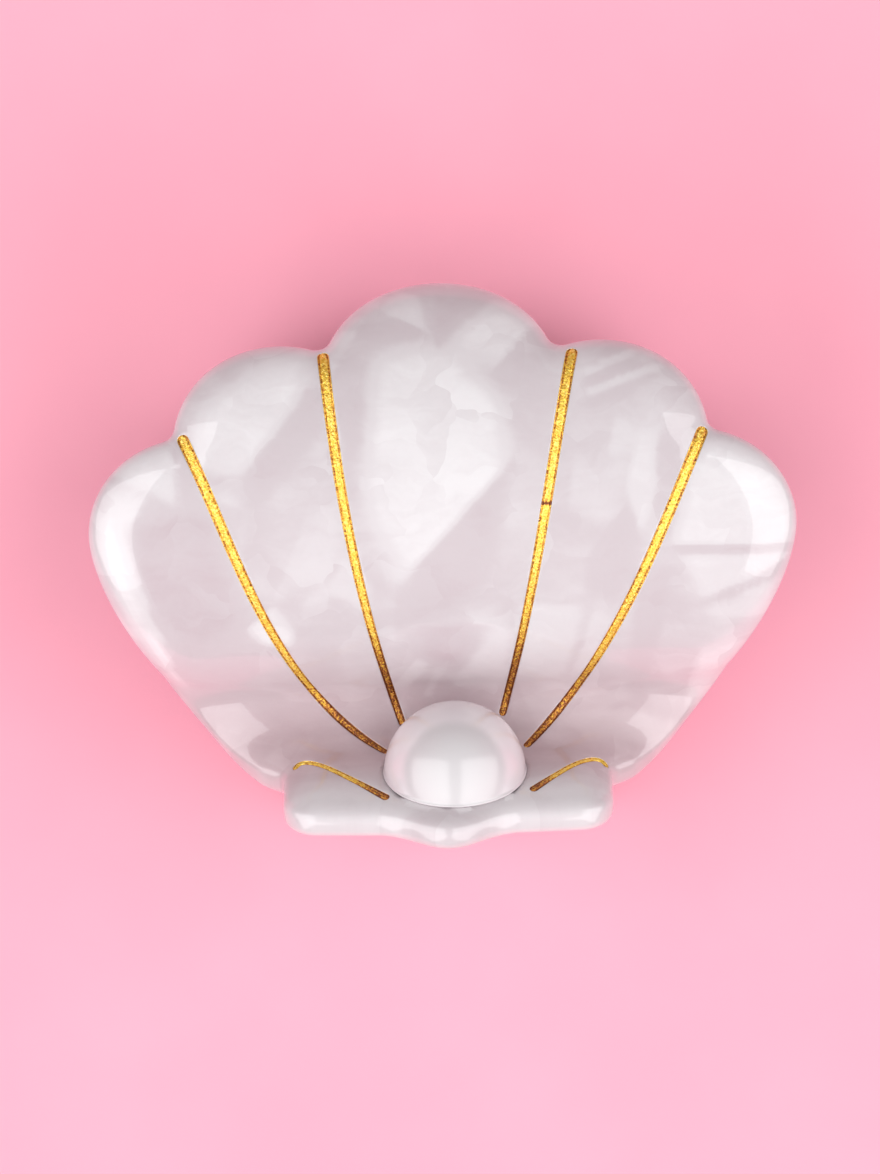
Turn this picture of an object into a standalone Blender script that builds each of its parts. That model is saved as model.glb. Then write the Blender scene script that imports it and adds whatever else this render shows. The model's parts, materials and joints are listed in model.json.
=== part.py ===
"""Scallop-shell claw clip, lying on its back jaw as on a table.

Two jaws cut from acetate sheet are bent to the same S-shaped profile: a flared finger tab, a tight
valley over the hinge and a bowed scallop fan. Each jaw carries a half pearl on its tab, gold filled
lines, two hinge lugs and a comb of curved teeth. A steel pin and a torsion spring join the jaws.

Frame: +Z up, +Y from the tabs to the fan's edge, +X to the right, origin on the table under the
middle of the clip. Each jaw is modelled about the hinge pin: in that jaw frame the pin runs along X
through the origin, and the jaw lies on the +Z side. The back jaw is the same jaw turned over, so
its left and right, like the front jaw's, are as seen facing its outer face with the tab nearest.
Flat coordinates describe a sheet before bending: x across, v along the outer face from the tab's
end towards the fan's edge, n above the outer face.
"""

from math import acos, asin, atan2, cos, hypot, pi, radians, sin, sqrt

import bmesh
import bpy
from mathutils import Matrix, Vector

MM = 0.001

# Driving dimensions, in millimetres and degrees
SHEET = 3.4             # acetate sheet thickness
EDGE_ROUND = 1.4        # radius of the polished edge
TAB_SLOPE = 62.0        # tab's flare from the clip's middle plane
TAB_STRAIGHT = 8.9      # straight length of the tab
VALLEY_R = 3.5          # outer radius of the bend over the hinge
FAN_RISE = 54.0         # slope at which the fan leaves the valley
FAN_R = 23.87           # outer radius of the fan's bow
PIN_TO_SHEET = 3.6      # from the pin's axis to the sheet over it
UMBO = 2.3              # how far the middle of the tab's end stands out
GLUE = 0.1              # glue film between bonded pieces
VALLEY_FACETS = 8       # flat facets round the valley's bend
RISE_FACETS = 7.5       # facets from the valley to the crest, whose own facet is level
FAN_FACETS = 14         # facets from the valley past the fan's edge
TAB_STATION = -10.0     # the tab is one flat facet from here, beyond its end
NO_CUT = 0.05           # a sheet isn't cut across this near to its ends
WELD = 1e-4             # points this close are one
SHARP = 35.0            # edges sharper than this are shaded sharp

# The outline's right half, in flat coordinates: lobes are circles (centre x, centre v, radius),
# then each flank is two cubic Bezier curves down to the notch over the tab's ear
LOBES = ((0.0, 44.7, 10.0), (13.4, 39.5, 9.0), (20.9, 31.5, 8.75))
LOBE_FILLET = 1.3       # radius of the notch between two lobes
LOBE_STEPS = 9
FILLET_STEPS = 3
FLANK_HIGH = ((29.65, 31.5), (29.65, 27.5), (26.5, 20.6), (24.2, 15.9))
FLANK_LOW = ((24.2, 15.9), (22.8, 13.2), (18.0, 10.4), (14.4, 7.7))
HIGH_STEPS, LOW_STEPS = 8, 5
EAR_X = 13.9            # half the tab's width
EAR_NOTCH = ((14.0, 7.35), (EAR_X, 6.6))
EAR_CORNER_R = 2.8
EAR_STEPS = 5
TAB_SAG = 0.5           # how far the tab's corners lie behind its middle, the umbo apart
UMBO_HALF = 6.0         # half the width of the umbo's bump
TAB_END_X = (9.2, 7.2, 6.0, 4.9, 3.8, 2.7, 1.4, 0.0)

# Gold filled lines, scribed by hand: a cubic Bezier in plan, (x, y) from the hinge pin as seen facing
# the jaw, then the width at each end
GOLD_LINES = {
    "outer_left": (((-21.5, 23.6), (-17.1, 14.3), (-14.9, 2.5), (-5.3, -3.0)), 1.0, 0.65),
    "inner_left": (((-9.7, 30.5), (-8.7, 19.9), (-7.3, 9.5), (-3.8, -0.6)), 1.0, 0.65),
    "inner_right": (((11.1, 30.4), (9.0, 20.4), (7.7, 10.0), (4.8, 0.1)), 1.0, 0.65),
    "outer_right": (((21.8, 23.4), (17.9, 14.5), (14.2, 4.1), (6.8, -2.7)), 1.0, 0.65),
    "ear_left": (((-12.0, -3.75), (-11.3, -3.4), (-8.1, -5.4), (-5.4, -6.35)), 0.75, 0.75),
    "ear_right": (((12.1, -3.85), (11.5, -3.6), (9.5, -5.05), (7.3, -6.05)), 0.75, 0.75),
}
LINE_STEPS = 12
GROOVE_DEPTH = 0.5
GROOVE_CUT = 1.0        # how far a groove's cutter stands out of the sheet
GOLD_TOP = 0.08         # how far the gold lies below the sheet's face

PEARL_R = 6.0
PEARL_AT = (0.6, 5.7)   # the pearl's centre, set by hand a little off the middle
PEARL_SINK = 0.25       # depth of the seat that the pearl is glued into
PEARL_SEGMENTS = 28
PEARL_RINGS = 14
PEARL_BASE = 0.01       # the sphere is cut just above its middle ring
SEAT_SEGMENTS = 40

BOSS_R = 3.1            # round end of a hinge lug
BOSS_HALF_TURN = 120.0  # from the boss's bottom to where it meets the lug's sides
BOSS_STEPS = 16
BORE_R = 1.33
BORE_CUT = 10.0         # length of the cutter for a bore
BORE_SEGMENTS = 32
LUG_WIDTH = 2.8
LUG_ROUND = 0.3
LUG_HALF_FOOT = 4.5     # half the foot's length along its hollow
FOOT_STEPS = 8
LUG_SIDE_GAP = 0.25     # between a front lug and its back lug
LUG_X = {"front": 6.2, "back": 6.2 + LUG_WIDTH + LUG_SIDE_GAP}

PIN_R = 1.25
PIN_END_GAP = 0.1       # between a back lug and the pin's head
PIN_HEAD_R = 2.0
PIN_HEAD = 0.9
PEEN = (0.5, 0.5)       # chamfer of the pin's head, across and along the pin
PIN_SEGMENTS = 28

WIRE_R = 0.45
COIL_R = 2.2
COIL_TURNS = 4.5
COIL_PITCH = 1.3
TURN_POINTS = 14
LEG_BEND = (-4.45, 2.55)  # where each spring leg turns up to follow its tab, in the jaw frame
LEG_CORNER = (1.2, 0.3)   # from a leg's sharp bend to the round one's ends and, twice over, its middle
LEG_END_V = 2.6

COMB_V = 44.0           # middle of the comb's bar on the sheet
COMB_BAR = (38.0, 5.0, 2.2)  # bar length, width along the sheet and thickness
COMB_ROUND = 0.6
TEETH = {"front": 5, "back": 6}
TOOTH_PITCH = 7.0
TOOTH_ROOT = (1.25, 2.3)  # half width across and half depth at the root
TOOTH_TAPER = 0.45      # size next to the tip over size at the root
TOOTH_TIP = 0.45        # the last ring's further share, which blunts the tip
TOOTH_RINGS = 9
TOOTH_SIDES = 12
TOOTH_TIP_GAP = 6.0     # from a tooth's tip to the other jaw's bar

# Where the hinge pin lies over the table
TAB_RAD, RISE_RAD = radians(TAB_SLOPE), radians(FAN_RISE)
FAN_V = TAB_STRAIGHT + VALLEY_R * (TAB_RAD + RISE_RAD)
CREST_V = FAN_V + FAN_R * RISE_RAD
VALLEY_CENTRE_Z = PIN_TO_SHEET + SHEET + VALLEY_R
FAN_CENTRE = (
    (VALLEY_R + FAN_R) * sin(RISE_RAD),
    VALLEY_CENTRE_Z - (VALLEY_R + FAN_R) * cos(RISE_RAD),
)
FAN_FACET = (CREST_V - FAN_V) / RISE_FACETS
STATIONS = [TAB_STATION]
STATIONS += [TAB_STRAIGHT + (FAN_V - TAB_STRAIGHT) * i / VALLEY_FACETS for i in range(VALLEY_FACETS)]
STATIONS += [FAN_V + FAN_FACET * i for i in range(FAN_FACETS + 1)]
HALF_DEPTH = FAN_CENTRE[1] + FAN_R * cos(FAN_FACET / FAN_R / 2)
PIN_Y = -12.88          # puts the origin under the middle of the clip

COLOURS = {
    "acetate": ((0.86, 0.83, 0.85), 0.12, 0.0),
    "pearl": ((0.90, 0.87, 0.89), 0.10, 0.0),
    "gold": ((0.83, 0.58, 0.14), 0.35, 0.9),
    "steel": ((0.72, 0.70, 0.66), 0.25, 1.0),
}


def clear_scene():
    for obj in list(bpy.data.objects):
        bpy.data.objects.remove(obj)


def make_material(name):
    colour, rough, metal = COLOURS[name]
    material = bpy.data.materials.new(name)
    material.use_nodes = True
    shader = material.node_tree.nodes["Principled BSDF"]
    shader.inputs["Base Color"].default_value = (*colour, 1.0)
    shader.inputs["Roughness"].default_value = rough
    shader.inputs["Metallic"].default_value = metal
    return material


# The bent profile, in the jaw frame

def outer_point(v):
    """(y, z, slope) of the sheet's outer face at v, the slope being its direction's angle above +Y."""
    if v < TAB_STRAIGHT:
        y, z, _ = outer_point(TAB_STRAIGHT)
        back = TAB_STRAIGHT - v
        return y - back * cos(TAB_RAD), z + back * sin(TAB_RAD), -TAB_RAD
    if v <= FAN_V:
        slope = (v - TAB_STRAIGHT) / VALLEY_R - TAB_RAD
        return VALLEY_R * sin(slope), VALLEY_CENTRE_Z - VALLEY_R * cos(slope), slope
    slope = (CREST_V - v) / FAN_R
    return FAN_CENTRE[0] - FAN_R * sin(slope), FAN_CENTRE[1] + FAN_R * cos(slope), slope


def along_sheet(y):
    """The v at which the outer face passes y, the inverse of outer_point seen in plan."""
    if y < -VALLEY_R * sin(TAB_RAD):
        return TAB_STRAIGHT + (y + VALLEY_R * sin(TAB_RAD)) / cos(TAB_RAD)
    if y < VALLEY_R * sin(RISE_RAD):
        return TAB_STRAIGHT + VALLEY_R * (asin(y / VALLEY_R) + TAB_RAD)
    return CREST_V - FAN_R * asin((FAN_CENTRE[0] - y) / FAN_R)


def smooth_point(x, v, n):
    """The place in the jaw frame of a flat point, on the smooth bends."""
    y, z, slope = outer_point(v)
    return Vector((x, y - n * sin(slope), z + n * cos(slope))) * MM


def bent(x, v, n):
    """The place in the jaw frame of a flat point, on flat facets between the stations."""
    after = next(i for i, station in enumerate(STATIONS) if station > v)
    low, high = STATIONS[after - 1], STATIONS[after]
    return smooth_point(x, low, n).lerp(smooth_point(x, high, n), (v - low) / (high - low))


# Flat outlines

def bezier(points, steps):
    p0, p1, p2, p3 = (Vector(p) for p in points)
    found = []
    for i in range(steps + 1):
        t = i / steps
        found.append(
            p0 * (1 - t) ** 3 + p1 * 3 * t * (1 - t) ** 2 + p2 * 3 * t * t * (1 - t) + p3 * t**3
        )
    return found


def arc(centre, radius, start, end, steps):
    """Points on a circle from angle start to angle end."""
    angles = [start + (end - start) * i / steps for i in range(steps + 1)]
    return [Vector((centre[0] + radius * cos(a), centre[1] + radius * sin(a))) for a in angles]


def fillet_between(first, second, radius):
    """Centre and end angles of the fillet in the notch outside two circles; the angles are its own."""
    (x0, v0, r0), (x1, v1, r1) = first, second
    d = hypot(x1 - x0, v1 - v0)
    a, b = r0 + radius, r1 + radius
    along = (a * a - b * b + d * d) / (2 * d)
    up = sqrt(a * a - along * along)
    ux, uv = (x1 - x0) / d, (v1 - v0) / d
    centre = (x0 + ux * along - uv * up, v0 + uv * along + ux * up)
    to_first = atan2(v0 - centre[1], x0 - centre[0])
    to_second = atan2(v1 - centre[1], x1 - centre[0])
    return centre, to_first, to_second


def near(angle, other):
    """The angle, plus or minus whole turns, that lies nearest to other."""
    return angle + 2 * pi * round((other - angle) / (2 * pi))


def tab_end(x):
    """Where the tab ends at x: a gentle arc with the umbo's bump in its middle."""
    bump = UMBO * (1 + cos(pi * x / UMBO_HALF)) / 2 if abs(x) < UMBO_HALF else 0.0
    return TAB_SAG * (x / EAR_X) ** 2 - bump


def half_outline():
    """The right half of a jaw's outline, from the top lobe's crown to the middle of the tab's end."""
    points = [Vector((0.0, LOBES[0][1] + LOBES[0][2]))]
    start = pi / 2
    for lobe, following in zip(LOBES, LOBES[1:]):
        centre, to_lobe, to_next = fillet_between(lobe, following, LOBE_FILLET)
        touch = near(to_lobe + pi, start)
        points += arc(lobe[:2], lobe[2], start, touch, LOBE_STEPS)[1:]
        points += arc(centre, LOBE_FILLET, to_lobe, near(to_next, to_lobe), FILLET_STEPS)[1:]
        start = near(to_next + pi, touch)
        start = start if start > touch - pi else start + 2 * pi
    points += arc(LOBES[-1][:2], LOBES[-1][2], start, 0.0, LOBE_STEPS)[1:]
    points += bezier(FLANK_HIGH, HIGH_STEPS)[1:]
    points += bezier(FLANK_LOW, LOW_STEPS)[1:]
    points += [Vector(p) for p in EAR_NOTCH]
    corner_x = EAR_X - EAR_CORNER_R
    corner = (corner_x, tab_end(corner_x) + EAR_CORNER_R)
    points += arc(corner, EAR_CORNER_R, 0.0, -pi / 2, EAR_STEPS)
    points += [Vector((x, tab_end(x))) for x in TAB_END_X]
    return points


def jaw_outline():
    right = half_outline()
    left = [Vector((-p.x, p.y)) for p in reversed(right[1:-1])]
    return right + left


def line_outline(name, widen=0.0):
    """The flat outline of a gold line, or of its groove when widened."""
    plan, wide, narrow = GOLD_LINES[name]
    middle = [Vector((p.x, along_sheet(p.y))) for p in bezier(plan, LINE_STEPS)]
    first, last = middle[1] - middle[0], middle[-1] - middle[-2]
    middle[0] -= first.normalized() * widen
    middle[-1] += last.normalized() * widen
    left, right = [], []
    for i, p in enumerate(middle):
        ahead, behind = middle[min(i + 1, LINE_STEPS)], middle[max(i - 1, 0)]
        across = (ahead - behind).normalized().orthogonal()
        half = (wide + (narrow - wide) * i / LINE_STEPS) / 2 + widen
        left.append(p + across * half)
        right.append(p - across * half)
    return left + right[::-1]


# Solids

def link(obj, collection):
    collection.objects.link(obj)
    return obj


def flat_plate(outline, low, high, rounding=0.0):
    """A mesh of a flat sheet with this outline, between two values of n, with rounded edges."""
    curve = bpy.data.curves.new("outline", "CURVE")
    curve.dimensions = "2D"
    curve.fill_mode = "BOTH"
    curve.extrude = (high - low) / 2 - rounding
    curve.bevel_depth = rounding
    curve.bevel_resolution = 1
    curve.offset = -rounding
    spline = curve.splines.new("POLY")
    spline.points.add(len(outline) - 1)
    for target, p in zip(spline.points, outline):
        target.co = (p.x, p.y, 0.0, 1.0)
    spline.use_cyclic_u = True
    holder = link(bpy.data.objects.new("outline", curve), bpy.context.scene.collection)
    graph = bpy.context.evaluated_depsgraph_get()
    mesh = bpy.data.meshes.new_from_object(holder.evaluated_get(graph))
    bpy.data.objects.remove(holder)
    made = bmesh.new()
    made.from_mesh(mesh)
    bmesh.ops.remove_doubles(made, verts=made.verts, dist=WELD)
    bmesh.ops.translate(made, verts=made.verts, vec=(0, 0, (low + high) / 2))
    bmesh.ops.recalc_face_normals(made, faces=made.faces)
    caps = [e for e in made.edges if len(e.link_faces) == 2 and e.calc_face_angle() < 1e-3]
    caps = [e for e in caps if all(abs(abs(f.normal.z) - 1) < 1e-4 for f in e.link_faces)]
    bmesh.ops.dissolve_edges(made, edges=caps)
    bpy.data.meshes.remove(mesh)
    return made


def bend(made):
    """Cuts a flat mesh across at the stations and bends it to the jaw's profile."""
    low = min(vert.co.y for vert in made.verts)
    high = max(vert.co.y for vert in made.verts)
    for v in STATIONS:
        if low + NO_CUT < v < high - NO_CUT:
            everything = list(made.verts) + list(made.edges) + list(made.faces)
            bmesh.ops.bisect_plane(made, geom=everything, plane_co=(0, v, 0), plane_no=(0, 1, 0))
    for vert in made.verts:
        vert.co = bent(*vert.co)


def finish(made, name, collection, parent, material=None):
    """Turns a bmesh into an object on its jaw, shaded smooth away from sharp edges."""
    mesh = bpy.data.meshes.new(name)
    made.to_mesh(mesh)
    made.free()
    mesh.shade_smooth()
    mesh.set_sharp_from_angle(angle=radians(SHARP))
    obj = link(bpy.data.objects.new(name, mesh), collection)
    obj.parent = parent
    if material:
        mesh.materials.append(material)
    else:
        obj.hide_render = True
        obj.display_type = "WIRE"
    return obj


def cut(target, cutter):
    modifier = target.modifiers.new("cut_" + cutter.name, "BOOLEAN")
    modifier.operation = "DIFFERENCE"
    modifier.object = cutter


class Jaw:
    """Builds one jaw's pieces, all parented to the empty on the hinge pin."""

    def __init__(self, side, pivot, parts, cutters, materials):
        self.side, self.pivot = side, pivot
        self.parts, self.cutters, self.materials = parts, cutters, materials

    def piece(self, made, name, material):
        return finish(made, f"{self.side}_{name}", self.parts, self.pivot, self.materials[material])

    def cutter(self, made, name):
        return finish(made, f"{self.side}_{name}", self.cutters, self.pivot)

    def tab_frame(self):
        """Matrix from the pearl's seat, with its axis as Z, to the jaw frame."""
        normal = Vector((0, sin(TAB_RAD), cos(TAB_RAD)))
        along = Vector((0, cos(TAB_RAD), -sin(TAB_RAD)))
        turn = Matrix((Vector((1, 0, 0)), along, normal)).transposed()
        return Matrix.Translation(bent(*PEARL_AT, -PEARL_SINK)) @ turn.to_4x4()

    def shell(self):
        plate = self.cutter(flat_plate(jaw_outline(), -SHEET, 0.0, EDGE_ROUND), "plate")
        grooves = []
        for name in GOLD_LINES:
            groove = flat_plate(line_outline(name, GLUE), -GROOVE_DEPTH, GROOVE_CUT)
            grooves.append(self.cutter(groove, f"groove_{name}"))
            cut(plate, grooves[-1])
        graph = bpy.context.evaluated_depsgraph_get()
        made = bmesh.new()
        made.from_mesh(plate.evaluated_get(graph).data)
        for used in (plate, *grooves):
            bpy.data.objects.remove(used)
        bend(made)
        shell = self.piece(made, "shell", "acetate")
        seat = bmesh.new()
        seat_r, seat_h = PEARL_R + GLUE, PEARL_R / 2
        bmesh.ops.create_cone(
            seat, cap_ends=True, segments=SEAT_SEGMENTS, radius1=seat_r * MM, radius2=seat_r * MM,
            depth=seat_h * MM,
        )
        bmesh.ops.translate(seat, verts=seat.verts, vec=(0, 0, seat_h / 2 * MM))
        bmesh.ops.transform(seat, verts=seat.verts, matrix=self.tab_frame())
        cut(shell, self.cutter(seat, "pearl_seat"))

    def gold(self):
        for name in GOLD_LINES:
            strip = flat_plate(line_outline(name), GLUE - GROOVE_DEPTH, -GOLD_TOP)
            bend(strip)
            self.piece(strip, f"gold_line_{name}", "gold")

    def pearl(self):
        made = bmesh.new()
        bmesh.ops.create_uvsphere(
            made, u_segments=PEARL_SEGMENTS, v_segments=PEARL_RINGS, radius=PEARL_R * MM
        )
        everything = list(made.verts) + list(made.edges) + list(made.faces)
        bmesh.ops.bisect_plane(
            made, geom=everything, plane_co=(0, 0, PEARL_BASE * MM), plane_no=(0, 0, 1), clear_inner=True
        )
        rim = [e for e in made.edges if e.is_boundary]
        bmesh.ops.contextual_create(made, geom=rim)
        lift = Matrix.Translation((0, 0, GLUE * MM))
        bmesh.ops.transform(made, verts=made.verts, matrix=self.tab_frame() @ lift)
        self.piece(made, "pearl", "pearl")

    def lug(self, word, x):
        """A glued block with the pin's bore, its foot hollowed to sit on the bend."""
        foot_r = VALLEY_R + SHEET + GLUE
        edge = pi / 2 + sin(LUG_HALF_FOOT / foot_r)
        foot = arc((0, VALLEY_CENTRE_Z), foot_r, -edge, edge - pi, FOOT_STEPS)
        half_turn = radians(BOSS_HALF_TURN)
        round_end = arc((0, 0), BOSS_R, half_turn - pi / 2, -half_turn - pi / 2, BOSS_STEPS)
        made = flat_plate(foot + round_end, -LUG_WIDTH / 2, LUG_WIDTH / 2, LUG_ROUND)
        upright = Matrix(((0, 0, 1), (1, 0, 0), (0, 1, 0))).to_4x4()
        place = Matrix.Translation((x * MM, 0, 0)) @ Matrix.Scale(MM, 4) @ upright
        bmesh.ops.transform(made, verts=made.verts, matrix=place)
        lug = self.piece(made, f"hinge_lug_{word}", "acetate")
        bore = bmesh.new()
        bmesh.ops.create_cone(
            bore, cap_ends=True, segments=BORE_SEGMENTS, radius1=BORE_R * MM, radius2=BORE_R * MM,
            depth=BORE_CUT * MM,
        )
        along_x = Matrix.Translation((x * MM, 0, 0)) @ Matrix.Rotation(pi / 2, 4, "Y")
        bmesh.ops.transform(bore, verts=bore.verts, matrix=along_x)
        cut(lug, self.cutter(bore, f"bore_{word}"))

    def comb(self):
        """A bar glued under the fan, with curved teeth that swing past the other jaw's teeth."""
        length, width, thick = COMB_BAR
        low, high = COMB_V - width / 2, COMB_V + width / 2
        corners = ((-length / 2, low), (length / 2, low), (length / 2, high), (-length / 2, high))
        top = -SHEET - GLUE
        made = flat_plate([Vector(corner) for corner in corners], top - thick, top, COMB_ROUND)
        bend(made)
        comb = self.piece(made, "comb", "acetate")
        root = bent(0, COMB_V, top - thick / 2) / MM
        swing = hypot(root.y, root.z)
        start = atan2(root.z, root.y)
        end = (thick / 2 + TOOTH_TIP_GAP) / swing - start
        lean = outer_point(COMB_V)[2]
        teeth = TEETH[self.side]
        for i in range(teeth):
            x = (i - (teeth - 1) / 2) * TOOTH_PITCH
            tooth = self.cutter(self.tooth(x, swing, start, end, lean), f"tooth_{i + 1}")
            union = comb.modifiers.new(tooth.name, "BOOLEAN")
            union.operation = "UNION"
            union.object = tooth

    def tooth(self, x, swing, start, end, lean):
        """A tapered tooth of oval section along an arc about the pin, its root parallel to the bar."""
        made = bmesh.new()
        loops = []
        for i in range(TOOTH_RINGS):
            t = i / (TOOTH_RINGS - 1)
            angle = start + (end - start) * t
            tilt = lean + (angle - lean) * min(1.0, 3 * t)
            shrink = 1 - (1 - TOOTH_TAPER) * t
            if i == TOOTH_RINGS - 1:
                shrink *= TOOTH_TIP
            half_x, half_r = TOOTH_ROOT[0] * shrink, TOOTH_ROOT[1] * shrink
            middle = Vector((x, swing * cos(angle), swing * sin(angle)))
            loop = []
            for k in range(TOOTH_SIDES):
                turn = 2 * pi * k / TOOTH_SIDES
                out = half_r * sin(turn)
                offset = Vector((half_x * cos(turn), out * cos(tilt), out * sin(tilt)))
                loop.append(made.verts.new((middle + offset) * MM))
            loops.append(loop)
        for low, high in zip(loops, loops[1:]):
            for k in range(TOOTH_SIDES):
                following = (k + 1) % TOOTH_SIDES
                made.faces.new((low[k], low[following], high[following], high[k]))
        made.faces.new(loops[0][::-1])
        made.faces.new(loops[-1])
        bmesh.ops.recalc_face_normals(made, faces=made.faces)
        return made


def hinge_pin(parts, pivot, material):
    """A pin along X with a peened head outside each of the back jaw's lugs."""
    half = LUG_X["back"] + LUG_WIDTH / 2 + PIN_END_GAP
    end = half + PIN_HEAD
    head = [
        (PIN_R, half), (PIN_HEAD_R, half), (PIN_HEAD_R, end - PEEN[1]), (PIN_HEAD_R - PEEN[0], end),
        (0.0, end),
    ]
    side_profile = [(r, -x) for r, x in reversed(head)] + head
    made = bmesh.new()
    chain = [made.verts.new((x * MM, r * MM, 0)) for r, x in side_profile]
    edges = [made.edges.new(pair) for pair in zip(chain, chain[1:])]
    bmesh.ops.spin(
        made, geom=chain + edges, cent=(0, 0, 0), axis=(1, 0, 0), angle=2 * pi, steps=PIN_SEGMENTS,
        use_merge=True, use_duplicate=False,
    )
    bmesh.ops.remove_doubles(made, verts=made.verts, dist=WELD * MM)
    bmesh.ops.recalc_face_normals(made, faces=made.faces)
    return finish(made, "hinge_pin", parts, pivot, material)


def spring_path():
    """The wire's middle line about the pin: the leg under this jaw's tab, the coil, the other leg."""
    bend_y, bend_z = LEG_BEND
    coil_half = COIL_TURNS * COIL_PITCH / 2
    end = bent(coil_half, LEG_END_V, -SHEET - WIRE_R - GLUE) / MM
    touch = atan2(bend_z, bend_y) - acos(COIL_R / hypot(bend_y, bend_z))
    elbow = Vector((coil_half, bend_y, bend_z))
    towards_end = (end - elbow).normalized()
    towards_coil = (Vector((coil_half, COIL_R * cos(touch), COIL_R * sin(touch))) - elbow).normalized()
    reach, middle = LEG_CORNER
    near_leg = [end, elbow + towards_end * reach, elbow + (towards_end + towards_coil) * middle,
                elbow + towards_coil * reach]
    coil = []
    wound = 2 * pi * int(COIL_TURNS) + 2 * touch
    steps = round(COIL_TURNS * TURN_POINTS)
    for i in range(steps + 1):
        turn = touch - wound * i / steps
        coil.append(Vector((coil_half * (1 - 2 * i / steps), COIL_R * cos(turn), COIL_R * sin(turn))))
    far_leg = [Vector((-p.x, p.y, -p.z)) for p in reversed(near_leg)]
    return near_leg + coil + far_leg


def torsion_spring(parts, pivot, material):
    curve = bpy.data.curves.new("spring", "CURVE")
    curve.dimensions = "3D"
    curve.bevel_depth = WIRE_R * MM
    curve.bevel_resolution = 2
    curve.use_fill_caps = True
    path = spring_path()
    spline = curve.splines.new("POLY")
    spline.points.add(len(path) - 1)
    for target, p in zip(spline.points, path):
        target.co = (*(p * MM), 1.0)
    holder = link(bpy.data.objects.new("spring", curve), bpy.context.scene.collection)
    graph = bpy.context.evaluated_depsgraph_get()
    mesh = bpy.data.meshes.new_from_object(holder.evaluated_get(graph))
    bpy.data.objects.remove(holder)
    made = bmesh.new()
    made.from_mesh(mesh)
    bmesh.ops.remove_doubles(made, verts=made.verts, dist=WELD * MM)
    bmesh.ops.recalc_face_normals(made, faces=made.faces)
    bpy.data.meshes.remove(mesh)
    return finish(made, "torsion_spring", parts, pivot, material)


def build():
    clear_scene()
    materials = {name: make_material(name) for name in COLOURS}
    root = bpy.context.scene.collection
    parts = bpy.data.collections.new("parts")
    cutters = bpy.data.collections.new("cutters")
    root.children.link(parts)
    root.children.link(cutters)
    # The back jaw is the front jaw turned half round the Y axis
    for side, turned in (("front", 0.0), ("back", pi)):
        pivot = link(bpy.data.objects.new(f"{side}_pivot", None), parts)
        pivot.location = (0, PIN_Y * MM, HALF_DEPTH * MM)
        pivot.rotation_euler = (0, turned, 0)
        jaw = Jaw(side, pivot, parts, cutters, materials)
        jaw.shell()
        jaw.gold()
        jaw.pearl()
        jaw.comb()
        jaw.lug("left", -LUG_X[side])
        jaw.lug("right", LUG_X[side])
        if side == "back":
            hinge_pin(parts, pivot, materials["steel"])
            torsion_spring(parts, pivot, materials["steel"])


build()
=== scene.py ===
"""Looks of the scallop-shell claw clip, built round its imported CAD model.

Each jaw is a sheet of pearly acetate, drawn flat and then bent. Flat coordinates are in millimetres:
x across, v along the outer face from the tab's end towards the fan's edge, n above the outer face.
A flat sheet is a Delaunay mesh, denser where its edge rolls off and along the gold lines' grooves.
"""

import json
from math import acos, atan2, cos, hypot, pi, radians, sin, sqrt

import bmesh
import bpy
import numpy as np
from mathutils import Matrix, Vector
from mathutils.geometry import delaunay_2d_cdt


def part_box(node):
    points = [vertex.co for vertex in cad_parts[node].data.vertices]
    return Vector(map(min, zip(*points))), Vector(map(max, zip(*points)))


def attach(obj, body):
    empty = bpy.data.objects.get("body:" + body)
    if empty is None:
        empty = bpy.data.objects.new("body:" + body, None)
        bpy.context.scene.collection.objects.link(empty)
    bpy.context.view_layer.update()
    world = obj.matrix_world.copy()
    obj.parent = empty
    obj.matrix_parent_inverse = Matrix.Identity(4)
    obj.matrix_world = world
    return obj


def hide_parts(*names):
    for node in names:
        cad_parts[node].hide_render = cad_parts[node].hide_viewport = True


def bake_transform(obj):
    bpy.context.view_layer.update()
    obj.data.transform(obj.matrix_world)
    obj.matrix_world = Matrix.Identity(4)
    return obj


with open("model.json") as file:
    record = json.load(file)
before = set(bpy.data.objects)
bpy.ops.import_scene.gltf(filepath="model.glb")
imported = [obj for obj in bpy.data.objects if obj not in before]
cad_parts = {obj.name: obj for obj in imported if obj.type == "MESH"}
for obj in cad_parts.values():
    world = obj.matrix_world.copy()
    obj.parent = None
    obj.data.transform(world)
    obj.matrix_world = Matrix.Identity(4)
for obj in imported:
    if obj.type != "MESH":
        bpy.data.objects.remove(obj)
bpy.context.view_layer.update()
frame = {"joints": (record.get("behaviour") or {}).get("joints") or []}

MM = 0.001
PIN = Vector(frame["joints"][0]["pos_m"]) / MM

# The bent profile, as in the CAD model
SHEET = 3.4
TAB_RAD = radians(62.0)
TAB_STRAIGHT = 8.9
VALLEY_R = 3.5
RISE_RAD = radians(54.0)
FAN_R = 23.87
PIN_TO_SHEET = 3.6
FAN_V = TAB_STRAIGHT + VALLEY_R * (TAB_RAD + RISE_RAD)
CREST_V = FAN_V + FAN_R * RISE_RAD
VALLEY_CENTRE_Z = PIN_TO_SHEET + SHEET + VALLEY_R
FAN_CENTRE_Y = (VALLEY_R + FAN_R) * sin(RISE_RAD)
FAN_CENTRE_Z = VALLEY_CENTRE_Z - (VALLEY_R + FAN_R) * cos(RISE_RAD)

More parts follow.
